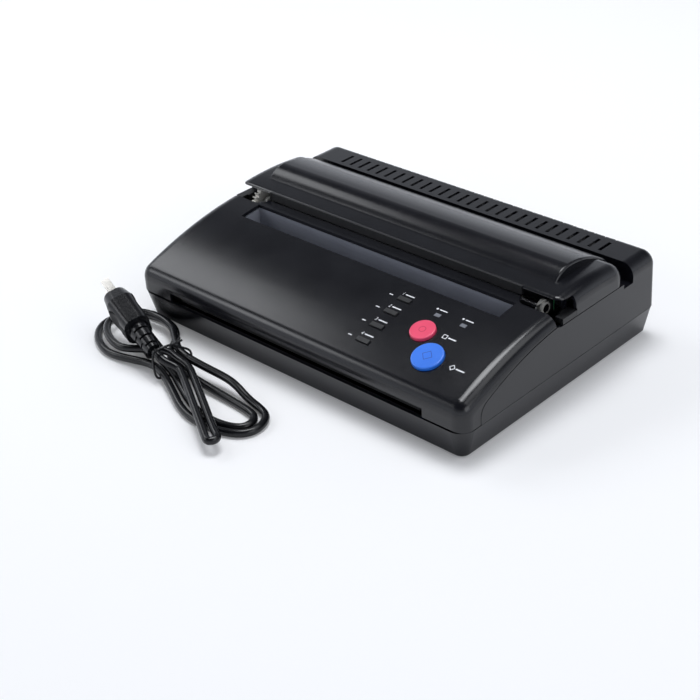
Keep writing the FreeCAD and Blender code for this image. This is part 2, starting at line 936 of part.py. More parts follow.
def operation_panel():
    rear = panel_rear_y
    bottom = size.parting_height + size.tray_lip_gap
    outside = prism("panel_outside", "X", panel_outline(nought, rear, bottom), -half_width, half_width)
    soften(outside, "shoulders", lambda middle, edge:
           (on_plane(middle.x, half_width) or on_plane(middle.x, -half_width))
           and middle.z > float(bottom) + float(size.skin)
           and middle.y < float(rear) - float(size.skin)
           and not (edge.Curve.TypeId == "Part::GeomLine" and middle.y > float(seam_foot_y)),
           size.shoulder_radius)
    thick = size.skin
    hollow = prism("panel_inside", "X", panel_outline(
        thick, rear + size.overrun, bottom - size.overrun), thick - half_width, half_width - thick)
    soften(hollow, "shoulders", lambda middle, edge:
           (on_plane(middle.x, half_width - thick) or on_plane(middle.x, thick - half_width))
           and middle.z > float(bottom)
           and middle.y < float(rear)
           and not (edge.Curve.TypeId == "Part::GeomLine" and middle.y > float(seam_foot_y)),
           size.shoulder_radius - thick)
    seam = seam_points(nought)
    above = size.panel_rear_height + size.overrun
    over_seam = prism("over_seam", "X",
                      [(-half_depth - size.overrun, bottom - size.tray_lip_gap / 2),
                       (seam_foot_y, bottom - size.tray_lip_gap / 2)] + seam
                      + [(size.overrun, size.seam_end_height),
                         (size.overrun, above),
                         (-half_depth - size.overrun, above)],
                      -half_width - size.overrun, half_width + size.overrun)
    shell = cut("panel_shell", shared("panel_above_seam", outside, over_seam), hollow)

    cuts = []
    for side in (-1, 1):
        edge = panel_rear_y
        end = half_width + size.overrun
        scoop = [(side * notch_start_x, edge + size.overrun),
                 (side * notch_start_x, edge, side * size.notch_bend_radius),
                 (side * notch_bend_x, edge - size.notch_depth),
                 (side * end, edge - size.notch_depth),
                 (side * end, edge + size.overrun)]
        cuts.append(prism("notch", "Z", scoop, size.sill_height - size.overrun, above))
    cuts.append(box("feed_cut", -feed_width / 2, feed_width / 2,
                    feed_front_y, feed_back_y, size.sill_height - size.shoulder_radius, above))
    cuts.append(box("delivery_cut", -delivery_width / 2, delivery_width / 2,
                    -half_depth - size.overrun, size.nose_radius - half_depth,
                    bottom - size.overrun, size.delivery_top))
    room = size.panel_lug_radius + size.fit_gap
    for side in (-1, 1):
        low, high = pivot_span(side, nought)
        cuts.append(box("post_clearance", low - size.fit_gap, high + size.fit_gap,
                        panel_pivot_y - room, panel_pivot_y + room,
                        size.parting_height - size.overrun, size.panel_pivot_height + room))
    deep = -size.skin - size.overrun
    for index in range(4):
        y = key_first_y - size.key_pitch * index
        cuts.append(panel_box("key_hole", key_x, y, size.key_length + size.button_gap * 2,
                              size.key_width + size.button_gap * 2, deep, size.overrun))
    for x, y, radius in ((stop_x, stop_y, size.stop_radius),
                         (copy_x, copy_y, size.copy_radius)):
        cuts.append(panel_rod("button_hole", x, y, radius + size.button_gap, deep, size.overrun))
    for x in (stop_lamp_x, copy_lamp_x):
        cuts.append(panel_box("lamp_hole", x, lamp_y, size.lamp_length, size.lamp_width,
                              deep, size.overrun))
    pierced = cut("panel_pierced", shell, *cuts)

    # Lugs beside the tray's pivot posts, and pillars under the face for the board
    extras = []
    for side in (-1, 1):
        low, high = pivot_span(side, size.panel_lug_width + size.fit_gap)
        extras.append(rod("pivot_lug", "X", low, high, panel_pivot_y, size.panel_pivot_height,
                          size.panel_lug_radius))
        extras.append(box("lug_web", low, high, -half_depth + size.skin - size.fit_gap,
                          panel_pivot_y + size.panel_lug_radius, size.panel_pivot_height,
                          size.panel_pivot_height + size.panel_lug_height))
    for x in (control_board_left + size.boss_radius, control_board_right - size.boss_radius):
        for step in (-1, 1):
            y = control_board_mid_y + step * (size.control_board_length / 2 - size.boss_radius)
            extras.append(board_pillar(x, y))
    whole = joined("panel_with_lugs", pierced, *extras)
    reach = panel_pivot_x + size.panel_lug_width * 2 + size.overrun
    pin_holes = rod("pin_bore", "X", -reach, reach, panel_pivot_y, size.panel_pivot_height,
                    size.panel_pin_radius)
    node(cut("operation_panel", whole, pin_holes), "operation_panel")


def board_plane(label, x_low, x_high, back_low, back_high, low, high):
    # A block parallel to the panel's face over the middle of the control board.
    item = doc.addObject("Part::Box", label)
    bind(item, "Length", x_high - x_low)
    bind(item, "Width", back_high - back_low)
    bind(item, "Height", high - low)
    return set_on_panel(item, x_low, control_board_mid_y, back_low, low)


def board_pillar(x, y):
    back = y - control_board_mid_y
    item = doc.addObject("Part::Cylinder", "board_pillar")
    bind(item, "Radius", size.board_post_radius)
    bind(item, "Height", size.board_depth - size.skin)
    return set_on_panel(item, x, control_board_mid_y, back, -size.board_depth)


def control_board():
    board = board_plane("control_board", control_board_left, control_board_right,
                        -size.control_board_length / 2, size.control_board_length / 2,
                        -size.board_depth - size.board_thickness, -size.board_depth)
    node(board, "control_board")


def arc_sag(y):
    # How far the curved face drops below the control board's parallel plane.
    sine, cosine = lean_at(control_board_mid_y)
    away_y = y - control_board_mid_y
    away_z = panel_height(y) - panel_height(control_board_mid_y)
    along = away_y * cosine - away_z * sine
    drop = away_y * sine + away_z * cosine
    return along, drop


def press_places():
    places = [(key_x, key_first_y - size.key_pitch * index, size.key_travel)
              for index in range(4)]
    places.append((stop_x, stop_y, size.button_travel))
    places.append((copy_x, copy_y, size.button_travel))
    return places


def tact_switches():
    switches = []
    half = size.switch_width / 2
    for x, y, travel in press_places():
        along, drop = arc_sag(y)
        switches.append(board_plane("tact_switch", x - half, x + half, along - half, along + half,
                                    -size.board_depth, size.switch_height - size.board_depth))
    node(group("tact_switches", *switches), "tact_switches")


def stem_bottom(y, travel):
    # The stem ends a travel and a small gap above its switch.
    along, drop = arc_sag(y)
    return -size.board_depth + size.switch_height + travel + size.switch_gap - drop


def keys():
    names = ("program_key", "darker_key", "lighter_key", "mode_key")
    lip = size.flange_lip * 2 + size.button_gap * 2
    for index, name in enumerate(names):
        y = key_first_y - size.key_pitch * index
        cap = panel_box("key_cap", key_x, y, size.key_length, size.key_width,
                        -size.skin - size.fit_gap - size.flange_thickness, size.key_rise)
        flange = panel_box("key_flange", key_x, y, size.key_length + lip, size.key_width + lip,
                           -size.skin - size.fit_gap - size.flange_thickness, -size.skin - size.fit_gap)
        stem = panel_rod("key_stem", key_x, y, size.stem_radius, stem_bottom(y, size.key_travel),
                         -size.skin - size.fit_gap - size.flange_thickness)
        node(joined(name, cap, flange, stem), name)


def buttons():
    for name, x, y, radius in (("stop_button", stop_x, stop_y, size.stop_radius),
                               ("copy_button", copy_x, copy_y, size.copy_radius)):
        under = -size.skin - size.fit_gap
        cap = panel_rod("cap", x, y, radius, under - size.flange_thickness, size.button_rise)
        flange = panel_rod("flange", x, y, radius + size.button_gap + size.flange_lip,
                           under - size.flange_thickness, under)
        stem = panel_rod("stem", x, y, size.stem_radius, stem_bottom(y, size.button_travel),
                         under - size.flange_thickness)
        whole = joined(name + "_blank", cap, flange, stem)
        doc.recompute()
        rim = doc.addObject("Part::Fillet", name + "_edge")
        rim.Base = whole
        sine, cosine = lean_at(y)
        top = panel_height(y) + cosine * size.button_rise
        top_y = y + sine * size.button_rise
        chosen = []
        for number, edge in enumerate(whole.Shape.Edges, start=1):
            if edge.Curve.TypeId != "Part::GeomCircle":
                continue
            middle = edge.Curve.Center
            if middle.distanceToPoint(Vector(float(x), float(top_y), float(top))) < float(size.fit_gap):
                chosen.append((number, float(size.button_edge), float(size.button_edge)))
        rim.Edges = chosen
        node(rim, name)


def indicator_lenses():
    lenses = [panel_box("lens", x, lamp_y, size.lamp_length - size.shaft_gap * 2,
                        size.lamp_width - size.shaft_gap * 2, -size.skin, size.lamp_rise)
              for x in (stop_lamp_x, copy_lamp_x)]
    node(group("indicator_lenses", *lenses), "indicator_lenses")


def panel_hinge_pins():
    pins = []
    for side in (-1, 1):
        inner = panel_pivot_x
        outer = inner + size.panel_lug_width * 2 + size.fit_gap
        low, high = (inner, outer) if side > 0 else (-outer, -inner)
        pins.append(rod("panel_pin", "X", low, high, panel_pivot_y, size.panel_pivot_height,
                        size.panel_pin_radius))
    node(group("panel_hinge_pins", *pins), "panel_hinge_pins")


def document_chute():
    # Back wall that bends forward under the opening, two ends and a front slope
    back = feed_back_y
    wall = size.chute_wall
    top = panel_height(back) - size.skin - size.chute_top_gap
    half = feed_width / 2
    guide = [(back, top), (back, size.chute_bend_height, -size.chute_bend_radius),
             (chute_tip_y, size.chute_tip_height),
             (chute_tip_y + wall / 2, size.chute_tip_height - wall, size.chute_bend_radius + wall),
             (back + wall, size.chute_bend_height), (back + wall, top - wall / 4)]
    rear = prism("chute_back", "X", guide, -half - wall, half + wall)
    front_top = panel_height(feed_front_y) - size.skin - size.chute_top_gap
    front = prism("chute_front", "X",
                  [(feed_front_y - wall, front_top - wall / 2),
                   (chute_front_bottom_y - wall, size.chute_front_bottom_height),
                   (chute_front_bottom_y, size.chute_front_bottom_height),
                   (feed_front_y, front_top - wall / 4)], -half - wall, half + wall)
    ends = []
    for side in (-1, 1):
        outline = [(feed_front_y - wall, front_top - wall / 2),
                   (chute_front_bottom_y - wall, size.chute_front_bottom_height),
                   (back + wall, size.chute_bend_height),
                   (back + wall, top - wall / 4)]
        low, high = (half, half + wall) if side > 0 else (-half - wall, -half)
        ends.append(prism("chute_end", "X", outline, low, high))
    node(joined("document_chute", rear, front, *ends), "document_chute")


# Rear housing: side walls, stencil groove and the vented block at the back

def housing_outline(inset):
    gap = size.seam_gap
    return [(seam_foot_y + gap, size.parting_height)] + seam_points(gap) + [
        (sill_front_y, size.sill_height),
        (groove_front_y, size.sill_height),
        (groove_front_y, size.groove_height),
        (block_front_y - size.fit_gap, size.groove_height),
        (block_front_y, size.housing_height),
        (half_depth, size.housing_height),
        (half_depth, size.parting_height)]


def vent_cutters():
    cutters = []
    pitch = vent_span / (sizes["vent_count"] - 1)
    for index in range(sizes["vent_count"]):
        middle = pitch * index - vent_span / 2
        low = middle - size.vent_width / 2
        high = middle + size.vent_width / 2
        cutters.append(box("top_vent", low, high, vent_front_y, vent_back_y,
                           size.housing_height - size.skin - size.overrun,
                           size.housing_height + size.overrun))
        cutters.append(box("rear_vent", low, high, half_depth - size.rear_vent_inset,
                           half_depth + size.overrun, size.rear_vent_low,
                           size.housing_height + size.overrun))
    return group("vents", *cutters)


def rear_housing():
    thick = size.skin
    outside = prism("housing_outside", "X", housing_outline(0 * thick), -half_width, half_width)
    soften(outside, "shoulders", lambda middle, edge:
           (on_plane(middle.x, half_width) or on_plane(middle.x, -half_width))
           and on_plane(middle.z, size.housing_height), size.shoulder_radius)
    soften(outside, "rear_edges", lambda middle, edge:
           on_plane(middle.y, half_depth) and middle.z > float(size.parting_height) + float(size.overrun),
           size.rear_edge_radius)
    room = [(seam_foot_y - size.overrun, size.parting_height - size.overrun),
            (seam_foot_y - size.overrun, size.housing_height + size.overrun),
            (groove_front_y - thick / 2, size.housing_height + size.overrun),
            (groove_front_y - thick / 2, size.groove_height - thick),
            (block_front_y + thick, size.groove_height - thick),
            (block_front_y + thick, size.housing_height - thick),
            (half_depth - thick, size.housing_height - thick),
            (half_depth - thick, size.parting_height - size.overrun)]
    hollow = prism("housing_inside", "X", room, thick - half_width, half_width - thick)
    soften(hollow, "shoulders", lambda middle, edge:
           (on_plane(middle.x, half_width - thick) or on_plane(middle.x, thick - half_width))
           and on_plane(middle.z, size.housing_height - thick), size.shoulder_radius - thick)
    soften(hollow, "rear_edges", lambda middle, edge:
           on_plane(middle.y, half_depth - thick) and middle.z > float(size.parting_height),
           size.rear_edge_radius - thick)
    inlet_hole = box("inlet_hole", inlet_x - size.inlet_width / 2, inlet_x + size.inlet_width / 2,
                     half_depth - thick - size.overrun, half_depth + size.overrun,
                     size.inlet_z - size.inlet_height / 2, size.inlet_z + size.inlet_height / 2)
    switch_hole = box("switch_hole", switch_x - size.switch_hole_width / 2,
                      switch_x + size.switch_hole_width / 2,
                      half_depth - thick - size.overrun, half_depth + size.overrun,
                      size.switch_z - size.switch_hole_height / 2, size.switch_z + size.switch_hole_height / 2)
    shell = cut("housing_shell", outside, hollow)
    open_shell = cut("housing_pierced", shell, inlet_hole, switch_hole)
    vented = cut("housing_vented", open_shell, vent_cutters())
    extras = []
    for x, y in screw_places():
        extras.append(rod("housing_boss", "Z", tray_top, tray_top + size.boss_radius * 3, x, y,
                          size.boss_radius))
        wall_x = half_width - thick + size.fit_gap
        low, high = (x, wall_x) if float(x) > 0 else (-wall_x, x)
        extras.append(box("boss_web", low, high, y - thick / 2, y + thick / 2,
                          tray_top + size.skin, tray_top + size.boss_radius * 3))
    for side in (-1, 1):
        wall_x = side * (half_width - thick + size.fit_gap)
        end_x = side * (half_width - thick - size.catch_length)
        low, high = (end_x, wall_x) if side > 0 else (wall_x, end_x)
        front = lever_arm_back_y + size.lever_nib_depth + size.fit_gap
        extras.append(box("lid_catch", low, high, front, front + size.catch_thickness,
                          size.catch_height, size.catch_height + size.catch_thickness))
    whole = joined("housing_with_bosses", vented, *extras)
    bores = [rod("boss_bore", "Z", tray_top - size.overrun, tray_top + size.boss_radius * 2, x, y,
                 size.screw_radius + size.shaft_gap) for x, y in screw_places()]
    node(cut("rear_housing", whole, *bores), "rear_housing")


def power_inlet():
    # Two-pin inlet: flange behind the wall, sleeve through it, pins in its cavity
    x = inlet_x
    z = size.inlet_z
    wide = size.inlet_width / 2 - size.fit_gap
    tall = size.inlet_height / 2 - size.fit_gap
    seat = half_depth - size.skin
    bezel = box("inlet_bezel", x - wide - size.inlet_bezel, x + wide + size.inlet_bezel,
                seat - size.inlet_bezel_thickness, seat,
                z - tall - size.inlet_bezel, z + tall + size.inlet_bezel)
    sleeve = box("inlet_sleeve", x - wide, x + wide, half_depth - size.inlet_depth,
                 half_depth, z - tall, z + tall)
    cavity = box("inlet_cavity", x - wide + size.inlet_cavity_wall, x + wide - size.inlet_cavity_wall,
                 half_depth - size.inlet_cavity_depth, half_depth + size.overrun,
                 z - tall + size.inlet_cavity_wall, z + tall - size.inlet_cavity_wall)
    hollow = cut("inlet_shell", joined("inlet_block", bezel, sleeve), cavity)
    pins = [rod("inlet_pin", "Y", half_depth - size.inlet_depth,
                half_depth - size.inlet_depth + size.inlet_pin_length + size.inlet_pin_radius * 2,
                x + side * size.inlet_pin_pitch / 2, z, size.inlet_pin_radius) for side in (-1, 1)]
    node(joined("power_inlet", hollow, *pins), "power_inlet")


def switch_parts():
    # Mains switch: a frame in the rear wall and a rocker on a cross pin
    x = switch_x
    z = size.switch_z
    wide = size.switch_hole_width / 2 - size.fit_gap
    tall = size.switch_hole_height / 2 - size.fit_gap
    rim = size.rocker_wall
    outside = half_depth - size.rocker_pivot_depth
    bezel = box("switch_bezel", x - wide - rim, x + wide + rim, half_depth - size.skin - rim,
                half_depth - size.skin, z - tall - rim, z + tall + rim)
    sleeve = box("switch_sleeve", x - wide, x + wide, half_depth - size.switch_depth, half_depth,
                 z - tall, z + tall)
    well = box("switch_well", x - wide + rim, x + wide - rim,
               half_depth - size.switch_depth + rim, half_depth + size.overrun,
               z - tall + rim, z + tall - rim)
    pivot_y = outside - size.rocker_pivot_depth
    bore = rod("rocker_bore", "X", x - wide, x + wide, pivot_y, z, size.rocker_pin_radius + size.shaft_gap)
    node(cut("switch_frame", joined("switch_block", bezel, sleeve), well, bore), "switch_frame")

    inner_wide = wide - rim - size.rocker_gap
    reach = tall - rim - size.rocker_gap * 2
    swing = math.radians(sizes["rocker_swing"] / 2)
    cap = prism("rocker_cap", "X", [
        (pivot_y - size.rocker_pivot_depth, z - reach * math.cos(swing) / 2),
        (pivot_y - size.rocker_pivot_depth, z + reach * math.cos(swing) / 2),
        (pivot_y - reach * math.sin(swing) + size.rocker_wall, z + reach * math.cos(swing)),
        (outside - rim / 4, z + reach * math.cos(swing)),
        (outside, z),
        (outside + reach * math.sin(swing) * 2, z - reach * math.cos(swing)),
        (pivot_y + reach * math.sin(swing), z - reach * math.cos(swing))],
        x - inner_wide, x + inner_wide)
    pin = rod("rocker_pin", "X", x - wide, x + wide, pivot_y, z, size.rocker_pin_radius)
    node(joined("power_rocker", cap, pin), "power_rocker")


# Lid: a flat shelf with a raised dome, hinged at its rear

def tangent_centre(line_y, radius, arc_y, arc_z, arc_radius):
    # Centre of an arc that touches a vertical line and lies inside a larger arc.
    y = line_y - radius
    span = arc_radius - abs_size(radius)
    away = y - arc_y
    return y, arc_z + root(span * span - away * away)


def abs_size(value):
    return value if float(value) > 0 else -value


def touching(centre, arc_y, arc_z, arc_radius, radius):
    # Where the small arc meets the larger one.
    span = arc_radius - radius
    return (arc_y + (centre[0] - arc_y) * arc_radius / span,
            arc_z + (centre[1] - arc_z) * arc_radius / span)


def shelf_outline(inset):
    radius = size.lid_shelf_radius - inset
    centre_z = size.lid_crown_height - size.lid_shelf_radius
    front = lid_front_y + inset
    rear = lid_rear_y - inset
    nose = size.lid_nose_radius - inset
    round_radius = size.lid_rear_radius - inset
    crown = lid_crown_y
    front_centre = tangent_centre(front, -nose, crown, centre_z, radius)
    rear_centre = tangent_centre(rear, round_radius, crown, centre_z, radius)
    front_join = touching(front_centre, crown, centre_z, radius, nose)
    rear_join = touching(rear_centre, crown, centre_z, radius, round_radius)
    return [(front, size.lid_bottom - inset * 2),
            (rear, size.lid_bottom - inset * 2),
            (rear, rear_centre[1], round_radius),
            (rear_join[0], rear_join[1], radius),
            (front_join[0], front_join[1], nose),
            (front, front_centre[1])]


# The dome's rear arc starts level at its crown and ends on the lip's arc
dome_drop = size.dome_top - size.dome_lip_height
dome_away = dome_rear_y - size.dome_lip_radius - lid_crown_y
dome_rear_radius = ((dome_away * dome_away + dome_drop * dome_drop
                     - size.dome_lip_radius * size.dome_lip_radius)
                    / ((dome_drop - size.dome_lip_radius) * 2))


def dome_outline(inset):
    front_r = size.dome_front_radius - inset
    front_z = size.dome_top - size.dome_front_radius
    rear_r = dome_rear_radius - inset
    rear_z = size.dome_top - dome_rear_radius
    low_front = size.lid_front_height - inset
    down = low_front - front_z
    rear = dome_rear_y - inset
    lip_radius = size.dome_lip_radius - inset
    crown = lid_crown_y
    lip_centre = tangent_centre(rear, lip_radius, crown, rear_z, rear_r)
    lip_join = touching(lip_centre, crown, rear_z, rear_r, lip_radius)
    step = lid_rear_y - size.lid_rear_radius / 2
    return [(crown - root(front_r * front_r - down * down), low_front),
            (step, low_front),
            (step, size.dome_lip_bottom - inset * 2),
            (rear, size.dome_lip_bottom - inset * 2),
            (rear, lip_centre[1], lip_radius),
            (lip_join[0], lip_join[1], rear_r),
            (crown, size.dome_top - inset, front_r)]


def lid_shell():
    thick = size.skin
    shelf = prism("shelf_outside", "X", shelf_outline(0 * thick), -half_width, half_width)
    soften(shelf, "shoulders", lambda middle, edge:
           (on_plane(middle.x, half_width) or on_plane(middle.x, -half_width))
           and middle.z > float(size.lid_pivot_z) + float(thick)
           and middle.y > float(lid_front_y) + float(size.lid_nose_radius), size.shoulder_radius)
    shelf_room = prism("shelf_inside", "X", shelf_outline(thick), thick - half_width, half_width - thick)
    soften(shelf_room, "shoulders", lambda middle, edge:
           (on_plane(middle.x, half_width - thick) or on_plane(middle.x, thick - half_width))
           and middle.z > float(size.lid_pivot_z)
           and middle.y > float(lid_front_y) + float(size.lid_nose_radius), size.shoulder_radius - thick)
    dome = prism("dome_outside", "X", dome_outline(0 * thick), -dome_half, dome_half)
    soften(dome, "ends", lambda middle, edge:
           (on_plane(middle.x, dome_half) or on_plane(middle.x, -dome_half))
           and middle.z > float(size.lid_front_height) + float(thick), size.dome_end_radius)
    dome_room = prism("dome_inside", "X", dome_outline(thick), thick - dome_half, dome_half - thick)
    rear_bay = box("rear_bay", thick - dome_half, dome_half - thick,
                   lid_rear_y - size.lid_rear_radius, dome_rear_y - thick,
                   size.lid_bottom - size.overrun, size.lid_front_height - thick * 2)
    shell = cut("lid_hollow", joined("lid_outside", shelf, dome), shelf_room, dome_room, rear_bay)
    cuts = []
    for side in (-1, 1):
        inner = side * tear_bar_half
        outer = side * (half_width + size.overrun)
        low, high = (inner, outer) if side > 0 else (outer, inner)
        cuts.append(box("finger_notch", low, high, lid_front_y - size.overrun, notch_back_y,
                        size.lid_bottom - size.overrun, size.notch_ceiling))
        tab_inner = side * (lever_inner - size.fit_gap)
        low, high = (tab_inner, outer) if side > 0 else (outer, tab_inner)
        cuts.append(box("lever_notch", low, high, lid_front_y - size.overrun,
                        lever_back_y + size.fit_gap, size.lid_bottom - size.overrun,
                        size.lever_top + size.lever_nib_depth))
    cuts.append(box("bar_seat", -tear_bar_half, tear_bar_half,
                    lid_front_y - size.overrun, lid_front_y + size.tear_bar_depth,
                    size.lid_bottom - size.overrun, size.tear_bar_top))
    cuts.append(box("front_clearance", -tear_bar_half, tear_bar_half,
                    lid_front_y - size.overrun, lid_front_y + thick * 2,
                    size.lid_bottom - size.overrun, size.tear_bar_bottom))
    opened = cut("lid_opened", shell, *cuts)
    extras = []
    for side in (-1, 1):
        inner = side * lid_lug_inner
        outer = side * lid_lug_outer
        low, high = (inner, outer) if side > 0 else (outer, inner)
        extras.append(rod("lug_eye", "X", low, high, lid_pivot_y, size.lid_pivot_z,
                          size.lid_lug_radius))
        extras.append(box("lug_arm", low, high, lid_pivot_y - size.lid_lug_radius,
                          lid_pivot_y + size.lid_lug_radius / 2, size.lid_pivot_z,
                          size.lid_front_height - size.skin))
        extras.append(rod("bracket_boss", "Z", bracket_top(), size.dome_top - thick,
                          side * lid_boss_x, lid_crown_y, size.lid_boss_radius))
        ear_inner = side * (lever_arm_inner - size.panel_lug_width)
        ear_outer = side * (lever_arm_inner - size.fit_gap)
        low, high = (ear_inner, ear_outer) if side > 0 else (ear_outer, ear_inner)
        extras.append(box("lever_ear", low, high, lever_pivot_y - size.panel_lug_radius,
                          lever_pivot_y + size.panel_lug_radius,
                          size.lever_pivot_z - size.panel_lug_radius, size.notch_ceiling + thick / 2))
    whole = joined("lid_with_lugs", opened, *extras)
    bores = [rod("lid_bore", "X", -lid_lug_outer - size.overrun, lid_lug_outer + size.overrun,
                 lid_pivot_y, size.lid_pivot_z, size.lid_pin_radius),
             rod("lever_bore", "X", -lever_arm_inner - size.overrun, lever_arm_inner + size.overrun,
                 lever_pivot_y, size.lever_pivot_z, size.lever_pin_radius + size.shaft_gap)]
    node(cut("lid_shell", whole, *bores), "lid_shell")


def bracket_top():
    return size.dome_top - size.skin - size.head_travel - size.bracket_thickness


def lid_hinge_pins():
    pins = []
    for side in (-1, 1):
        inner = side * lid_lug_inner
        outer = side * (plate_outer + size.bush_flange_thickness / 4)
        low, high = (inner, outer) if side > 0 else (outer, inner)
        pins.append(rod("lid_pin", "X", low, high, lid_pivot_y, size.lid_pivot_z, size.lid_pin_radius))
    node(group("lid_hinge_pins", *pins), "lid_hinge_pins")


def tear_bar():
    front = lid_front_y
    bar = box("tear_bar", -tear_bar_half, tear_bar_half, front, front + size.tear_bar_depth,
              size.tear_bar_bottom, size.tear_bar_top)
    node(bar, "tear_bar")


def latch_levers():
    for name, side in (("left_latch_lever", -1), ("right_latch_lever", 1)):
        def along(label, inner, outer, outline):
            low, high = (side * inner, side * outer) if side > 0 else (side * outer, side * inner)
            return prism(label, "X", outline, low, high)

        tab = along("lever_tab", lever_inner, lever_tab_outer,
                    [(lever_front_y, size.lever_bottom), (lever_back_y, size.lever_bottom),
                     (lever_back_y, size.lever_top), (lever_front_y, size.lever_top)])
        arm = along("lever_arm", lever_arm_inner, lever_inner,
                    [(lever_arm_front_y, size.lever_arm_bottom),
                     (lever_arm_back_y, size.lever_arm_bottom),
                     (lever_arm_back_y + size.lever_nib_depth,
                      size.lever_arm_bottom + size.lever_nib_height / 2),
                     (lever_arm_back_y, size.lever_arm_bottom + size.lever_nib_height),
                     (lever_arm_back_y, size.lever_bottom),
                     (lever_back_y, size.lever_bottom),
                     (lever_back_y, size.lever_top),
                     (lever_arm_front_y, size.lever_top)])
        low, high = lever_arm_inner - size.panel_lug_width, lever_inner
        pin_low, pin_high = (low, high) if side > 0 else (-high, -low)
        pin = rod("lever_pin", "X", pin_low, pin_high, lever_pivot_y, size.lever_pivot_z,
                  size.lever_pin_radius)
        node(joined(name, tab, arm, pin), name)


# Chassis plates with their bushes

def side_plates():
    for name, side in (("left_side_plate", -1), ("right_side_plate", 1)):
        ear = size.lid_lug_radius
        outline = [(plate_front_y, tray_floor), (plate_rear_y, tray_floor),
                   (plate_rear_y, size.groove_height - ear * 2),
                   (lid_pivot_y - ear / 4, size.lid_pivot_z - ear),
                   (lid_pivot_y + ear, size.lid_pivot_z),
                   (lid_pivot_y, size.lid_pivot_z + ear),
                   (plate_arm_y, size.lid_pivot_z),
                   (plate_arm_y, size.plate_low_top),
                   (plate_platen_back_y, size.plate_low_top),
                   (plate_platen_back_y, size.plate_platen_top),
                   (lid_front_y, size.plate_platen_top),
                   (plate_step_y, size.plate_mid_top),
                   (plate_front_y, size.plate_front_top)]
        low, high = (plate_inner, plate_outer) if side > 0 else (-plate_outer, -plate_inner)
        blank = prism(name + "_blank", "X", outline, low, high)
        over = size.overrun
        holes = [rod("bush_hole", "X", low - over, high + over, y, z, size.bush_hub_radius)
                 for y, z in ((platen_y, size.platen_z), (document_y, size.document_z),
                              (exit_y, size.exit_z))]
        holes.append(rod("lid_pin_hole", "X", low - over, high + over, lid_pivot_y, size.lid_pivot_z,
                         size.lid_pin_radius + size.shaft_gap))
        if side < 0:
            holes.append(rod("motor_hole", "X", low - over, high + over, motor_y, motor_z,
                             size.motor_boss_radius))
            holes += [rod("stud_hole", "X", low - over, high + over, y, z, size.stud_radius)
                      for y, z in (first_stud, second_stud, third_stud)]
        node(cut(name, blank, *holes), name)


def roller_bushes():
    bushes = []
    for y, z, radius in ((platen_y, size.platen_z, size.platen_shaft_radius),
                         (document_y, size.document_z, size.document_shaft_radius),
                         (exit_y, size.exit_z, size.exit_shaft_radius)):
        for side in (-1, 1):
            def along(label, inner, outer, bar):
                low, high = (inner, outer) if side > 0 else (-outer, -inner)
                return rod(label, "X", low, high, y, z, bar)

            flange = along("bush_flange", plate_inner - size.bush_flange_thickness, plate_inner,
                           size.bush_flange_radius)
            hub = along("bush_hub", plate_inner - size.bush_flange_thickness,
                        plate_inner + size.bush_hub_length, size.bush_hub_radius)
            bore = along("bush_bore", plate_inner - size.bush_flange_thickness - size.overrun,
                         plate_inner + size.bush_hub_length + size.overrun, radius + size.shaft_gap)
            bushes.append(cut("bush", joined("bush_blank", flange, hub), bore))
    node(group("roller_bushes", *bushes), "roller_bushes")


# Gear train on the left side plate. Each pair is a module times half its teeth apart.

gear_inner = plate_outer + size.gear_start
gear_outer = gear_inner + size.gear_width


def distance(first, second):
    return size.gear_module * (teeth[first] + teeth[second]) / 2


def meeting(first_y, first_z, first_reach, second_y, second_z, second_reach):
    # The lower crossing of two circles.
    away_y = second_y - first_y
    away_z = second_z - first_z
    span = root(away_y * away_y + away_z * away_z)
    along = (first_reach * first_reach - second_reach * second_reach + span * span) / (2 * span)
    rise = root(first_reach * first_reach - along * along)
    return (first_y + along * away_y / span - rise * away_z / span,
            first_z + along * away_z / span + rise * away_y / span)


first_gap = distance("platen", "first_idler")
first_away = first_stud_y - platen_y
first_stud = (first_stud_y,
              size.platen_z - root(first_gap * first_gap - first_away * first_away))
motor_gap = distance("first_idler", "motor")
motor_y = first_stud_y + size.motor_y_lean
motor_z = first_stud[1] - root(motor_gap * motor_gap - size.motor_y_lean * size.motor_y_lean)
second_stud = meeting(first_stud[0], first_stud[1], distance("first_idler", "second_idler"),
                      document_y, size.document_z, distance("second_idler", "document"))
third_stud = meeting(document_y, size.document_z, distance("document", "third_idler"),
                     exit_y, size.exit_z, distance("third_idler", "exit"))


def involute_gear(count, phase):
    # Involute flanks from the base circle to the tip, lines down to the root circle.
    module = float(size.gear_module)
    pressure = math.radians(20)
    pitch = module * count / 2
    base = pitch * math.cos(pressure)
    tip = pitch + module
    root_radius = pitch - module * 1.25
    half_tooth = math.pi / (2 * count) - float(size.gear_backlash) / (2 * pitch)

    def roll(radius):
        return math.tan(math.acos(base / radius)) - math.acos(base / radius) if radius > base else 0

    steps = 5
    start = max(base, root_radius)
    flank = [start + (tip - start) * step / steps for step in range(steps + 1)]
    corners = []
    for tooth in range(count):
        middle = math.radians(phase) + 2 * math.pi * tooth / count
        rising = [(r, middle - half_tooth - roll(pitch) + roll(r)) for r in flank]
        falling = [(r, middle + half_tooth + roll(pitch) - roll(r)) for r in reversed(flank)]
        outline = [(root_radius, rising[0][1])] + rising + falling + [(root_radius, falling[-1][1])]
        corners += [Vector(0, r * math.cos(a), r * math.sin(a)) for r, a in outline]
    corners.append(corners[0])
    return Part.Face(Part.makePolygon(corners))


def mesh_phase(own, other, other_phase, angle):
    # Turns a gear so that its tooth gap faces the other gear's tooth.
    return angle + 180 - (other_phase - angle) * teeth[other] / teeth[own] + 180 / teeth[own]


def bearing(from_spot, to_spot):
    return math.degrees(math.atan2(float(to_spot[1]) - float(from_spot[1]),
                                   float(to_spot[0]) - float(from_spot[0])))


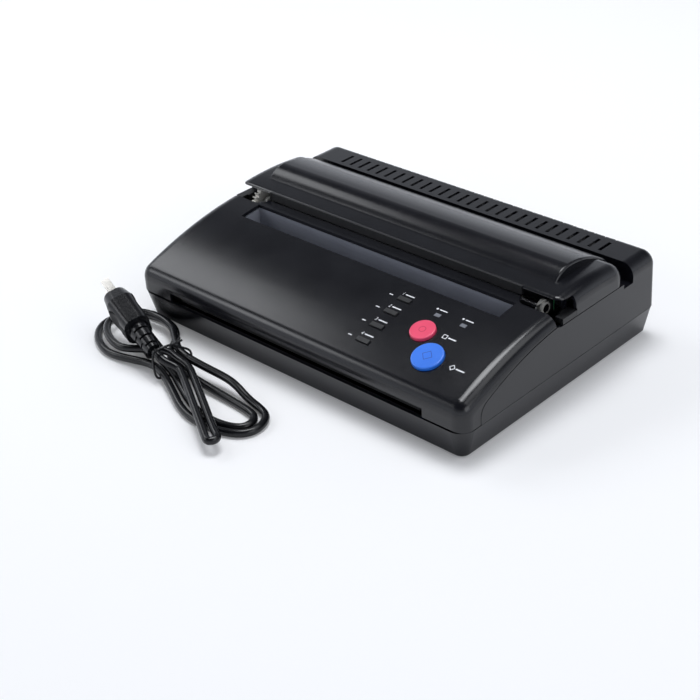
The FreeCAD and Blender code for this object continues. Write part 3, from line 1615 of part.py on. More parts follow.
def gear(name, kind, spot, phase, bore):
    disc = involute_gear(teeth[kind], phase).extrude(Vector(float(size.gear_width), 0, 0))
    hole = Part.makeCylinder(float(bore), float(size.gear_width), Vector(), Vector(1, 0, 0))
    blank = feature(name + "_blank", disc.cut(hole))
    place(blank, -gear_outer, spot[0], spot[1])
    return blank


def gears_and_shafts():
    platen_spot = (platen_y, size.platen_z)
    document_spot = (document_y, size.document_z)
    exit_spot = (exit_y, size.exit_z)
    motor_spot = (motor_y, motor_z)
    phases = {"platen": 0}
    for own, other, own_spot, other_spot in (
            ("first_idler", "platen", first_stud, platen_spot),
            ("motor", "first_idler", motor_spot, first_stud),
            ("second_idler", "first_idler", second_stud, first_stud),
            ("document", "second_idler", document_spot, second_stud),
            ("third_idler", "document", third_stud, document_spot),
            ("exit", "third_idler", exit_spot, third_stud)):
        phases[own] = mesh_phase(own, other, phases[other], bearing(other_spot, own_spot))

    running = size.stud_radius + size.shaft_gap
    node(gear("first_idler_gear", "first_idler", first_stud, phases["first_idler"], running),
         "first_idler_gear")
    node(gear("second_idler_gear", "second_idler", second_stud, phases["second_idler"], running),
         "second_idler_gear")
    node(gear("third_idler_gear", "third_idler", third_stud, phases["third_idler"], running),
         "third_idler_gear")
    node(gear("platen_gear", "platen", platen_spot, phases["platen"], size.platen_shaft_radius),
         "platen_gear")
    node(gear("document_gear", "document", document_spot, phases["document"],
              size.document_shaft_radius), "document_gear")
    node(gear("exit_gear", "exit", exit_spot, phases["exit"], size.exit_shaft_radius), "exit_gear")

    pinion = gear("pinion", "motor", motor_spot, phases["motor"], size.pinion_bore_radius)
    spindle = rod("spindle", "X", -gear_outer, size.motor_shaft_depth - plate_inner,
                  motor_y, motor_z, size.pinion_bore_radius)
    node(joined("motor_pinion", pinion, spindle), "motor_pinion")

    studs = []
    for y, z in (first_stud, second_stud, third_stud):
        bar = rod("stud_bar", "X", -gear_outer - size.shaft_gap - size.stud_head_thickness, -plate_inner,
                  y, z, size.stud_radius)
        head = rod("stud_head", "X", -gear_outer - size.fit_gap - size.stud_head_thickness,
                   -gear_outer - size.fit_gap, y, z, size.stud_head_radius)
        collar = rod("stud_collar", "X", size.fit_gap - gear_inner, -plate_outer, y, z,
                     size.stud_head_radius)
        studs.append(joined("stud", bar, head, collar))
    node(group("gear_studs", *studs), "gear_studs")

    for name, y, z, radius in (
            ("platen_shaft", platen_y, size.platen_z, size.platen_shaft_radius),
            ("document_shaft", document_y, size.document_z, size.document_shaft_radius),
            ("exit_shaft", exit_y, size.exit_z, size.exit_shaft_radius)):
        node(rod(name, "X", -gear_outer, plate_inner + size.bush_hub_length, y, z, radius), name)


def stepper_motor():
    can = rod("motor_can", "X", -plate_inner, size.motor_length - plate_inner, motor_y, motor_z,
              size.motor_radius)
    boss = rod("motor_boss", "X", -plate_outer, -plate_inner, motor_y, motor_z, size.motor_boss_radius)
    bore = rod("motor_bore", "X", -plate_outer - size.overrun,
               size.motor_shaft_depth - plate_inner + size.fit_gap, motor_y, motor_z,
               size.pinion_bore_radius + size.shaft_gap)
    node(cut("stepper_motor", joined("motor_body", can, boss), bore), "stepper_motor")


# Rollers

def sleeve(name, half, y, z, outer, inner):
    tube = rod(name + "_tube", "X", -half, half, y, z, outer)
    bore = rod(name + "_bore", "X", -half - size.overrun, half + size.overrun, y, z, inner)
    return cut(name, tube, bore)


def rollers():
    node(sleeve("platen_rubber", platen_half, platen_y, size.platen_z, size.platen_radius,
                size.platen_shaft_radius), "platen_rubber")
    node(sleeve("document_rubber", document_half, document_y, size.document_z,
                size.document_radius, size.document_shaft_radius), "document_rubber")
    tyres = []
    pinches = []
    for x in tyre_places():
        tyre = rod("tyre", "X", x - size.tyre_width / 2, x + size.tyre_width / 2, exit_y,
                   size.exit_z, size.exit_radius)
        bore = rod("tyre_bore", "X", x - size.tyre_width, x + size.tyre_width, exit_y, size.exit_z,
                   size.exit_shaft_radius)
        tyres.append(cut("exit_tyre", tyre, bore))
        pinches.append(rod("pinch", "X", x - size.pinch_width / 2, x + size.pinch_width / 2,
                           exit_y, pinch_z, size.pinch_radius))
    node(group("exit_tyres", *tyres), "exit_tyres")
    axle = rod("pinch_axle", "X", -pinch_shaft_half, pinch_shaft_half, exit_y, pinch_z,
               size.pinch_shaft_radius)
    node(joined("pinch_rollers", axle, *pinches), "pinch_rollers")


def tyre_places():
    return [-tyre_outer_x, -tyre_inner_x, tyre_inner_x, tyre_outer_x]


pinch_z = size.exit_z - size.exit_radius - size.pinch_radius - size.fit_gap


# Paper guides, image sensor and boards

def document_guide():
    thick = size.guide_thickness
    sheet_metal = prism("guide_plate", "X",
                        [(guide_back_y, size.guide_back_top),
                         (guide_back_y, size.guide_back_top - thick),
                         (guide_front_y, size.guide_front_top - thick),
                         (guide_front_y, size.guide_front_top)], -guide_half, guide_half)
    legs = []
    for side in (-1, 1):
        outer = side * guide_half
        inner = side * (guide_half - thick)
        low, high = (inner, outer) if side > 0 else (outer, inner)
        legs.append(box("guide_leg", low, high, guide_leg_front_y, guide_back_y,
                        tray_floor, size.guide_front_top - thick / 2))
    blank = joined("guide_blank", sheet_metal, *legs)
    windows = []
    for x in tyre_places():
        windows.append(box("pinch_window", x - size.pinch_window / 2, x + size.pinch_window / 2,
                           exit_y - size.pinch_window_length / 2,
                           exit_y + size.pinch_window_length / 2,
                           tray_floor + size.overrun, size.guide_back_top + size.overrun))
    windows.append(rod("pinch_bore", "X", -guide_half - size.overrun, guide_half + size.overrun,
                       exit_y, pinch_z, size.pinch_shaft_radius + size.shaft_gap))
    node(cut("document_guide", blank, *windows), "document_guide")


def image_sensor():
    bottom = tray_floor + size.sensor_rib_height
    bar = box("sensor_bar", -sensor_half, sensor_half, sensor_front_y, sensor_back_y,
              bottom, size.sensor_top)
    node(bar, "image_sensor")
    inset = size.glass_inset
    glass = box("glass", inset - sensor_half, sensor_half - inset, sensor_front_y + inset,
                sensor_back_y - inset, size.sensor_top, size.sensor_top + size.glass_thickness)
    node(glass, "sensor_glass")


def stencil_guide():
    # Bent sheet from the groove floor up to the platen, between the side plates
    thick = size.stencil_guide_thickness
    low = size.groove_height - size.skin
    back = groove_front_y - size.skin / 2
    node(prism("stencil_guide", "X",
               [(back, low + thick), (back, low),
                (plate_rear_y - thick, low),
                (stencil_guide_front_y, size.stencil_guide_front_z - thick),
                (stencil_guide_front_y, size.stencil_guide_front_z),
                (plate_rear_y, low + thick)],
               -plate_inner, plate_inner), "stencil_guide")


def boards():
    under = tray_floor + size.board_post_height
    top = under + size.board_thickness
    plate = box("main_plate", main_board_left, main_board_right, boards_front_y,
                boards_back_y, under, top)
    middle_y = (boards_front_y + boards_back_y) / 2
    parts = [plate]
    for x in (main_board_left / 2, main_board_right / 2 - size.chip_size):
        parts.append(box("chip", x, x + size.chip_size, middle_y - size.chip_size / 2,
                         middle_y + size.chip_size / 2, top - size.shaft_gap, top + size.chip_height))
    for x in (main_board_left + size.chip_size, main_board_left / 3):
        parts.append(box("board_socket", x, x + size.socket_length,
                         boards_front_y + size.boss_radius * 3,
                         boards_front_y + size.boss_radius * 3 + size.socket_width,
                         top - size.shaft_gap, top + size.socket_height))
    node(joined("main_board", *parts), "main_board")
    plate = box("power_plate", power_board_left, power_board_right, boards_front_y,
                boards_back_y, under, top)
    core_x = (power_board_left + power_board_right) / 2
    core = box("transformer", core_x - size.transformer_size / 2, core_x + size.transformer_size / 2,
               middle_y - size.transformer_size, middle_y, top - size.shaft_gap, top + size.transformer_size)
    cans = [rod("capacitor", "Z", top - size.shaft_gap, top + size.capacitor_height,
                core_x + side * size.capacitor_radius * 3, middle_y, size.capacitor_radius)
            for side in (-1, 1)]
    node(joined("power_board", plate, core, *cans), "power_board")


# Thermal print head, sprung down on the platen from the lid's bracket

def print_head():
    bottom = size.platen_z + size.platen_radius + size.fit_gap
    top = bottom + size.ceramic_thickness
    ceramic = box("head_ceramic", -head_ceramic_half, head_ceramic_half, ceramic_front_y,
                  ceramic_back_y, bottom, top)
    node(ceramic, "head_ceramic")
    sink_top = top + size.heat_sink_thickness
    sink = box("sink_plate", -head_ceramic_half, head_ceramic_half,
               ceramic_front_y + size.skin, heat_sink_back_y, top, sink_top)
    fins = []
    for index in range(sizes["fin_count"]):
        x = head_ceramic_half * 2 / sizes["fin_count"] * (index + 0.5 - sizes["fin_count"] / 2)
        fins.append(box("fin", x - size.fin_width / 2, x + size.fin_width / 2,
                        ceramic_front_y + size.skin * 3, ceramic_back_y - size.fin_width,
                        sink_top - size.shaft_gap, sink_top + size.fin_height / 2))
    node(joined("head_heat_sink", sink, *fins), "head_heat_sink")
    under = sink_top + size.head_spring_height
    top_plate = box("bracket_plate", -bracket_half, bracket_half, bracket_front_y,
                    bracket_back_y, bracket_top() - size.bracket_thickness, bracket_top())
    flange = box("bracket_flange", -bracket_half, bracket_half,
                 bracket_back_y - size.bracket_thickness, bracket_back_y,
                 bracket_top() - size.bracket_flange, bracket_top())
    node(joined("head_bracket", top_plate, flange), "head_bracket")
    bottom_z = float(sink_top)
    top_z = float(bracket_top() - size.bracket_thickness)
    springs = [wound_spring(float(side * spring_pitch_x), float(spring_y), bottom_z, top_z)
               for side in (-1, 0, 1)]
    node(feature("head_springs", Part.makeCompound(springs)), "head_springs")


# Wound forms: biarcs through points with their directions

def biarc(start, start_way, end, end_way):
    both = start_way + end_way
    chord = end - start
    square = 4 - both.dot(both)
    half_linear = both.dot(chord)
    if abs(square) < 1e-9:
        reach = chord.dot(chord) / (2 * half_linear)
    else:
        reach = (-half_linear + math.sqrt(half_linear ** 2 + square * chord.dot(chord))) / square
    first_corner = start + start_way * reach
    second_corner = end - end_way * reach
    join = (first_corner + second_corner) / 2
    return [tangent_arc(start, first_corner, join), tangent_arc(join, second_corner, end)]


def tangent_arc(start, corner, end):
    half_chord = (end - start).Length / 2
    middle = (start + end) / 2
    lean = half_chord / (corner - start).Length
    if 1 - lean < 1e-9:
        return Part.LineSegment(start, end).toShape()
    through = middle + (corner - middle) * (lean / (1 + lean))
    return Part.Arc(start, through, end).toShape()


def pipe(path, radius):
    start = path.Edges[0]
    way = start.tangentAt(start.FirstParameter)
    ring = Part.Wire(Part.Edge(Part.Circle(start.valueAt(start.FirstParameter), way, radius)))
    sweep = Part.BRepOffsetAPI.MakePipeShell(path)
    sweep.add(ring)
    sweep.build()
    sweep.makeSolid()
    return sweep.shape()


def wound_spring(x, y, bottom, top):
    radius = float(size.head_spring_radius)
    wire = float(size.spring_wire_radius)
    quarters = 4 * sizes["spring_turns"]
    low = bottom + wire
    rise = (top - bottom - 2 * wire) / quarters
    spots = []
    for index in range(quarters + 1):
        angle = math.pi / 2 * index
        spot = Vector(x + radius * math.cos(angle), y + radius * math.sin(angle), low + rise * index)
        way = Vector(-math.sin(angle), math.cos(angle), rise / (radius * math.pi / 2)).normalize()
        spots.append((spot, way))
    edges = []
    for (start, start_way), (end, end_way) in zip(spots, spots[1:]):
        edges += biarc(start, start_way, end, end_way)
    return pipe(Part.Wire(edges), wire)


def route_path(points):
    # Straight runs with the largest tangent arcs that the shorter run allows.
    edges = []
    radii = []
    last = points[0]
    for before, corner, after in zip(points, points[1:], points[2:]):
        run_in = corner - before
        run_out = after - corner
        turn = run_in.getAngle(run_out)
        reach = 0.45 * min(run_in.Length, run_out.Length)
        radii.append(reach / math.tan(turn / 2))
        arc_start = corner - run_in.normalize() * reach
        arc_end = corner + run_out.normalize() * reach
        edges.append(Part.LineSegment(last, arc_start).toShape())
        edges.append(tangent_arc(arc_start, corner, arc_end))
        last = arc_end
    edges.append(Part.LineSegment(last, points[-1]).toShape())
    return Part.Wire(edges), radii


# Cord set, in the hank's own frame: u runs along it to the right, v across it

def hank_frame(u, v, z):
    lean = math.radians(float(size.hank_lean))
    return Vector(float(size.hank_x) + u * math.cos(lean) - v * math.sin(lean),
                  float(size.hank_y) + u * math.sin(lean) + v * math.cos(lean), z)


def hank_way(u, v):
    lean = math.radians(float(size.hank_lean))
    return Vector(u * math.cos(lean) - v * math.sin(lean),
                  u * math.sin(lean) + v * math.cos(lean), 0).normalize()


def waist_lift():
    # The tie passes under the waist, which it holds off the table.
    return float(size.tie_radius + size.tie_margin) * 2


def hank_stations():
    # Places and directions along the hank: bottom layer from its inner end, then the top.
    step = float(size.cord_step)
    low = float(size.cord_radius)
    high = low + float(size.cord_layer)
    lift = waist_lift()
    slope = math.tan(math.radians(float(size.wide_lean)))
    heel = math.tan(math.radians(float(size.heel_lean)))
    turn = float(size.wide_turn)
    rise = float(size.left_rise)
    stations = []

    def right_lobe(reach, half, belly):
        stations.append((float(size.belly_u), -belly, low, 1, 0))
        stations.append((turn, slope * turn - half, low, 1, heel))
        stations.append((reach, slope * reach, low, -slope, 1))
        stations.append((turn, slope * turn + half, low, -1, -slope))

    def left_lobe(reach, half, at, layer):
        stations.append((-at, rise + half, layer, -1, 0))
        stations.append((-reach, rise, layer, 0, -1))
        stations.append((-at, rise - half, layer, 1, 0))

    centre = float(size.connector_height) / 2
    stations.append((float(size.hank_start_u), float(size.hank_start_v), centre, 1, -slope))
    stations.append((float(size.hank_waist_u), 0, low + lift, 1, 0))
    right_lobe(float(size.inner_reach), float(size.inner_half), float(size.inner_belly))
    stations.append((0, step, low + lift, -1, 0))
    left_lobe(float(size.left_reach), float(size.left_half), float(size.left_turn), low)
    stations.append((0, -step, low + lift, 1, 0))
    right_lobe(float(size.wide_reach), float(size.wide_half), float(size.wide_belly))
    climb = math.tan(math.radians(float(size.climb_lean)))
    stations.append((float(size.climb_u), float(size.climb_v), high, -1, -climb))
    stations.append((0, step * 2, high + lift, -1, 0))
    left_lobe(float(size.top_left_reach), float(size.top_left_half), float(size.top_left_turn), high)
    stations.append((0, step, high + lift, 1, 0))

    lean = math.radians(float(size.narrow_lean))
    along = Vector(math.cos(lean), math.sin(lean), 0)
    across = Vector(-along.y, along.x, 0) * float(size.narrow_half)
    throat = Vector(float(size.narrow_u), float(size.narrow_v), 0)
    nose = throat + along * float(size.narrow_reach)
    bend = nose - along * across.Length
    end = throat - across + along * float(size.narrow_end)
    for spot, level, way in ((throat + across, high + lift, along), (bend + across, high, along),
                             (nose, high, -across), (bend - across, high, -along),
                             (end, high + lift, -along)):
        stations.append((spot.x, spot.y, level, way.x, way.y))
    return stations


def hank_path():
    stations = [(hank_frame(u, v, z), hank_way(way_u, way_v))
                for u, v, z, way_u, way_v in hank_stations()]
    edges = []
    for (start, start_way), (end, end_way) in zip(stations, stations[1:]):
        edges += biarc(start, start_way, end, end_way)
    return Part.Wire(edges), stations


def least_gap(path, radius):
    # Least distance between turns, on points a wire radius apart.
    spots = path.discretize(Distance=radius)
    apart = 5
    least = path.Length
    for index, spot in enumerate(spots):
        for other in spots[index + apart:]:
            least = min(least, (spot - other).Length)
    return least - 2 * radius


def cord_hank():
    path, stations = hank_path()
    radius = float(size.cord_radius)
    print("hank length", round(path.Length, 1), "least gap to itself", round(least_gap(path, radius), 2))
    tightest = min(edge.Curve.Radius for edge in path.Edges if hasattr(edge.Curve, "Radius"))
    print("hank tightest bend", round(tightest, 1))
    node(feature("cord_hank", pipe(path, radius)), "cord_hank")
    return stations


def cord_ends(stations):
    radius = float(size.cord_radius)
    end, end_way = stations[-1]
    plug_back = hank_frame(float(size.plug_u), float(size.plug_v), float(size.plug_lift))
    axis = plug_axis()
    run = (plug_back - end).Length / 3
    points = [end, end + end_way * run, plug_back - axis * run, plug_back]
    path, radii = route_path(points)
    print("cord_start length", round(path.Length, 1), "radii", [round(value, 1) for value in radii])
    tube = pipe(path, radius)
    print("cord_start volume share", round(tube.Volume / (math.pi * radius ** 2 * path.Length), 3))
    node(feature("cord_start", tube), "cord_start")

    start, start_way = stations[0]
    back = start - start_way * radius * 3
    line = Part.Wire(Part.LineSegment(back, start).toShape())
    node(feature("cord_end", pipe(line, radius)), "cord_end")
    return back, start_way


def plug_axis():
    back = hank_frame(float(size.plug_u), float(size.plug_v), float(size.plug_lift))
    front = hank_frame(float(size.plug_end_u), float(size.plug_end_v), float(size.plug_end_lift))
    return (front - back).normalize()


def plug_place():
    # Takes a shape drawn along +X from the origin to the plug's back, along its axis.
    axis = plug_axis()
    flat = Vector(axis.x, axis.y, 0)
    turn = Rotation(Vector(0, 0, 1), math.degrees(math.atan2(axis.y, axis.x)))
    pitch = Rotation(Vector(0, 1, 0), -math.degrees(math.atan2(axis.z, flat.Length)))
    roll = Rotation(Vector(1, 0, 0), float(size.plug_roll))
    back = hank_frame(float(size.plug_u), float(size.plug_v), float(size.plug_lift))
    return FreeCAD.Placement(back, turn.multiply(pitch).multiply(roll))


def rounded_section(x, width, height):
    # A rectangle with rounded corners, across the plug's axis
    corner = min(width, height) * float(size.plug_corner_share)
    bulge = corner * (1 - math.sqrt(1 / 2))
    y = width / 2
    z = height / 2
    edges = []
    for turn in range(4):
        side_y, side_z = (y, z) if turn % 2 == 0 else (z, y)
        spots = [(side_y, corner - side_z), (side_y, side_z - corner),
                 (side_y - bulge, side_z - bulge), (side_y - corner, side_z)]
        for _ in range(turn):
            spots = [(-b, a) for a, b in spots]
        low, high, middle, end = (Vector(x, a, b) for a, b in spots)
        edges.append(Part.LineSegment(low, high).toShape())
        edges.append(Part.Arc(high, middle, end).toShape())
    return Part.Wire(edges)


def strain_relief():
    # A cone with pairs of slots, each pair a quarter turn from the last
    length = float(size.relief_length)
    tip = float(size.relief_tip_radius)
    rear = float(size.relief_rear_radius)
    depth = float(size.relief_slot_depth)
    cone = Part.makeCone(tip, rear, length, Vector(), Vector(1, 0, 0))
    count = sizes["relief_slots"]
    pitch = length / (count + 1)
    width = pitch * float(size.relief_slot_share)
    for index in range(count):
        low = pitch * (index + 1) - width / 2
        around = tip + (rear - tip) * low / length
        outer = Part.makeCylinder(rear * 2, width, Vector(low, 0, 0), Vector(1, 0, 0))
        inner = Part.makeCylinder(around - depth, width, Vector(low, 0, 0), Vector(1, 0, 0))
        half = around * float(size.relief_slot_height_share)
        band = Part.makeBox(width, rear * 4, half * 2, Vector(low, -rear * 2, -half))
        band.rotate(Vector(), Vector(1, 0, 0), 90 * (index % 2))
        cone = cone.cut(outer.cut(inner).common(band))
    return cone


def mains_plug():
    # A slotted strain relief and a softly rounded head with a scoop in each broad face
    length = float(size.relief_length)
    whole = abs(float(size.plug_end_u - size.plug_u))
    wide = float(size.plug_width)
    tall = float(size.plug_height)
    seat = float(size.relief_slot_depth)
    neck = float(size.plug_neck_share)
    nose = float(size.plug_nose_share)
    span = whole - length
    front = length + span * float(size.plug_front_share)
    head = Part.makeLoft([rounded_section(length - seat, wide * neck, tall * neck),
                          rounded_section(front, wide, tall),
                          rounded_section(whole, wide * nose, tall * nose)], True, True)
    scoop = float(size.plug_scoop_radius)
    reach = tall / 2 + scoop - float(size.plug_scoop_depth)
    middle = length + span * float(size.plug_scoop_share)
    scoops = Part.makeCompound([Part.makeSphere(scoop, Vector(middle, 0, side * reach)) for side in (-1, 1)])
    body = strain_relief().fuse(head.cut(scoops))
    half_pitch = float(size.blade_pitch) / 2
    thick = float(size.blade_thickness)
    high = float(size.blade_width)
    root_depth = float(size.blade_length) / 3
    blades = [Part.makeBox(float(size.blade_length) + root_depth, thick, high,
                           Vector(whole - root_depth, side * half_pitch - thick / 2, -high / 2))
              for side in (-1, 1)]
    pair = Part.makeCompound(blades)
    node(feature("mains_plug", body.cut(pair), plug_place()), "mains_plug")
    node(feature("plug_blades", pair, plug_place()), "plug_blades")


def cord_connector(back, way):
    # The far end's two-hole socket, lying in the left loop under the plug
    length = float(size.connector_length)
    wide = float(size.connector_width)
    tall = float(size.connector_height)
    block = Part.makeBox(length, wide, tall, Vector(-length, -wide / 2, 0))
    edges = [edge for edge in block.Edges if abs(edge.tangentAt(edge.FirstParameter).x) > 0.9]
    block = block.makeFillet(tall * float(size.connector_corner_share), edges)
    holes = []
    for side in (-1, 1):
        holes.append(Part.makeCylinder(float(size.inlet_pin_radius + size.fit_gap),
                                       float(size.connector_socket),
                                       Vector(-length, side * float(size.inlet_pin_pitch) / 2, tall / 2),
                                       Vector(1, 0, 0)))
    block = block.cut(Part.makeCompound(holes))
    lean = math.degrees(math.atan2(way.y, way.x))
    spot = FreeCAD.Placement(Vector(back.x, back.y, 0), Rotation(Vector(0, 0, 1), lean))
    node(feature("cord_connector", block, spot), "cord_connector")


def twist_tie():
    # A wire loop round the waist, its end twisted up
    wire = float(size.tie_radius)
    margin = float(size.tie_margin) + wire
    corner = float(size.cord_radius)
    low = corner + waist_lift()
    floor = wire
    side = float(size.cord_step) + corner + margin
    high = low + float(size.cord_layer)
    top = high + corner + margin
    far = side + float(size.cord_step)
    lifted = float(size.plug_lift) + corner + margin
    left = abs(float(size.plug_v)) + corner + margin + wire
    tail = float(size.tie_tail)
    ring = [(wire * 2, lifted + wire), (far - corner, top + wire), (far, top - corner),
            (far, high - corner), (side, floor + corner), (side - corner, floor), (corner - side, floor), (-side - wire, floor + corner),
            (-left, lifted - corner - wire), (corner - left, lifted), (-wire, lifted + wire)]
    along = float(size.plug_u) + tail / 2
    points = [hank_frame(along, v, z) for v, z in ring]
    end = hank_frame(along + tail / 3, tail / 2, lifted + tail / 4)
    path, radii = route_path([end] + points)
    node(feature("twist_tie", pipe(path, wire)), "twist_tie")


base_tray()
rubber_feet()
case_screws()
operation_panel()
control_board()
tact_switches()
keys()
buttons()
indicator_lenses()
panel_hinge_pins()
document_chute()
rear_housing()
power_inlet()
switch_parts()
lid_shell()
lid_hinge_pins()
tear_bar()
latch_levers()
side_plates()
roller_bushes()
gears_and_shafts()
stepper_motor()
rollers()
document_guide()
image_sensor()
stencil_guide()
boards()
print_head()
hank_ends = cord_hank()
connector_back, connector_way = cord_ends(hank_ends)
mains_plug()
cord_connector(connector_back, connector_way)
twist_tie()

doc.recompute()
for item in doc.Objects:
    if "Invalid" in item.State or "Error" in item.State:
        raise RuntimeError("%s failed: %s" % (item.Name, item.State))
for item in nodes:
    if item.Shape.isNull() or not item.Shape.isValid():
        raise RuntimeError("%s has no valid shape" % item.Label)

os.makedirs("parts", exist_ok=True)
for item in nodes:
    item.Shape.exportStep("parts/%s.step" % item.Label)
print(len(nodes), "nodes")
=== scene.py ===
import bpy
import json
import numpy as np
from math import cos, pi, radians, sin, sqrt
from mathutils import Matrix, Vector


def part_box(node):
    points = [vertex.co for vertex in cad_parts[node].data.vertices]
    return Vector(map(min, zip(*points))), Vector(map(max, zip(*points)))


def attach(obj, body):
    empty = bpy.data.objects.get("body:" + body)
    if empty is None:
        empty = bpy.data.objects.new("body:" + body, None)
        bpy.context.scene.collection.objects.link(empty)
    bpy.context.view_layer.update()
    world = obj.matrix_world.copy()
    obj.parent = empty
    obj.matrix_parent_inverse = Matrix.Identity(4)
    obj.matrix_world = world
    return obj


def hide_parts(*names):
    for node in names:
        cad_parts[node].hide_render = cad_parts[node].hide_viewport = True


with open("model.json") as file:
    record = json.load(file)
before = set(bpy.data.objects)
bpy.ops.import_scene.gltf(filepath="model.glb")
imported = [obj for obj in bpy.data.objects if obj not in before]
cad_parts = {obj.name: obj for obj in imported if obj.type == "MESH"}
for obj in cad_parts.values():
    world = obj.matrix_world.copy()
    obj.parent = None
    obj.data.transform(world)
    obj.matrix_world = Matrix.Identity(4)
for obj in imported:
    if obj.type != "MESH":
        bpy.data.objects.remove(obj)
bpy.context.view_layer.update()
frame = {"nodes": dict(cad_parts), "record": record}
nodes = frame["nodes"]
mm = 0.001


def newObject(name, data):
    obj = bpy.data.objects.new(name, data)
    bpy.context.scene.collection.objects.link(obj)
    return obj


# Camera, fitted to the photograph

cameraView = {
    "azimuth": 43.94,           # degrees round the machine from its front
    "elevation": 28.60,         # degrees above the table
    "roll": -3.26,
    "target": (0, 0, 40 * mm),
    "distance": 1.09619,
    "focal": 1536.77,           # in pixels of a frame 700 wide
    "frame": 700,
    "offset": (39.84, -75.89),  # of the picture's middle, in the same pixels
    "sensor": 36,               # width in millimetres, the lens's own unit
    "near": 0.05,
    "far": 30,
}


def placeCamera(look):
    around = radians(look["azimuth"])
    above = radians(look["elevation"])
    turn = radians(look["roll"])
    back = Vector((sin(around) * cos(above), -cos(around) * cos(above), sin(above)))
    right = Vector((cos(around), sin(around), 0))
    up = back.cross(right)
    rolledRight = right * cos(turn) + up * sin(turn)
    rolledUp = up * cos(turn) - right * sin(turn)
    turned = Matrix((rolledRight, rolledUp, back)).transposed().to_4x4()
    lens = bpy.data.cameras.new("camera")
    lens.sensor_width = look["sensor"]
    lens.lens = look["focal"] / look["frame"] * look["sensor"]
    lens.shift_x = -look["offset"][0] / look["frame"]
    lens.shift_y = look["offset"][1] / look["frame"]
    lens.clip_start = look["near"]
    lens.clip_end = look["far"]
    camera = newObject("camera", lens)
    camera.matrix_world = Matrix.Translation(Vector(look["target"]) + back * look["distance"]) @ turned
    bpy.context.scene.camera = camera


placeCamera(cameraView)
bpy.context.scene.view_settings.view_transform = "Standard"
print("camera placed")


# Shader values: arithmetic on a socket adds Math nodes

class Socket:
    def __init__(self, tree, output):
        self.tree = tree
        self.output = output

    def __add__(self, other):
        return self.tree.math("ADD", self, other)

    def __radd__(self, other):
        return self.tree.math("ADD", other, self)

    def __sub__(self, other):
        return self.tree.math("SUBTRACT", self, other)

    def __rsub__(self, other):
        return self.tree.math("SUBTRACT", other, self)

    def __mul__(self, other):
        return self.tree.math("MULTIPLY", self, other)

    def __rmul__(self, other):
        return self.tree.math("MULTIPLY", other, self)

    def __gt__(self, other):
        return self.tree.math("GREATER_THAN", self, other)

    def __lt__(self, other):
        return self.tree.math("LESS_THAN", self, other)


class ShaderTree:
    def __init__(self, tree):
        self.tree = tree
        self.tree.nodes.clear()

    def node(self, kind, settings=None, values=None, output=0):
        # A node's settings come first, then its sockets' values or links
        made = self.tree.nodes.new("ShaderNode" + kind)
        for name, value in (settings or {}).items():
            if name == "stops":
                self.setStops(made.color_ramp.elements, value)
            else:
                setattr(made, name, value)
        for name, value in (values or {}).items():
            if isinstance(value, Socket):
                self.tree.links.new(value.output, made.inputs[name])
            else:
                made.inputs[name].default_value = value
        return Socket(self, made.outputs[output]) if made.outputs else None

    def setStops(self, ramp, stops):
        # Greys at their places along a colour ramp
        while len(ramp) < len(stops):
            ramp.new(stops[-1][0])
        for element, (place, grey) in zip(ramp, stops):
            element.position = place
            element.color = (grey, grey, grey, 1)

    def math(self, operation, *values):
        return self.node("Math", {"operation": operation}, dict(enumerate(values)))

    def mixColour(self, share, first, second, how="MIX"):
        # A Mix node's colours are its inputs 6 and 7 and its output 2
        colours = [value if isinstance(value, Socket) else (*value, 1) for value in (first, second)]
        return self.node("Mix", {"data_type": "RGBA", "blend_type": how},
                         {0: share, 6: colours[0], 7: colours[1]}, 2)

    def place(self):
        return self.node("TexCoord", output="Object")

    def axis(self, letter):
        return self.node("SeparateXYZ", values={"Vector": self.place()}, output=letter)

    def noise(self, scale, detail, stretch=(1, 1, 1), roughness=0.5):
        where = self.place()
        if stretch != (1, 1, 1):
            where = self.node("Mapping", values={"Vector": where, "Scale": stretch})
        return self.node("TexNoise", values={"Vector": where, "Scale": scale, "Detail": detail,
                                             "Roughness": roughness})

    def cells(self, scale, distance="EUCLIDEAN"):
        return self.node("TexVoronoi", {"distance": distance}, {"Vector": self.place(), "Scale": scale})

    def ramp(self, share, low, high):
        # 0 at low, 1 at high, straight between and level beyond
        return self.node("MapRange", {"clamp": True}, {0: share, 1: low, 2: high, 3: 0.0, 4: 1.0})

    def bump(self, height, distance):
        return self.node("Bump", values={"Distance": distance, "Height": height})


def swing(pattern, spread):
    # A pattern of 0 to 1, moved to swing evenly about 0 by half of the spread
    return (pattern - 0.5) * spread


def newMaterial(name):
    material = bpy.data.materials.new(name)
    material.use_nodes = True
    return material, ShaderTree(material.node_tree)


def finishMaterial(tree, colour, sockets):
    sockets["Base Color"] = colour if isinstance(colour, Socket) else (*colour, 1)
    surface = tree.node("BsdfPrincipled", values=sockets)
    tree.node("OutputMaterial", values={"Surface": surface})


# Moulded plastics and rubbers

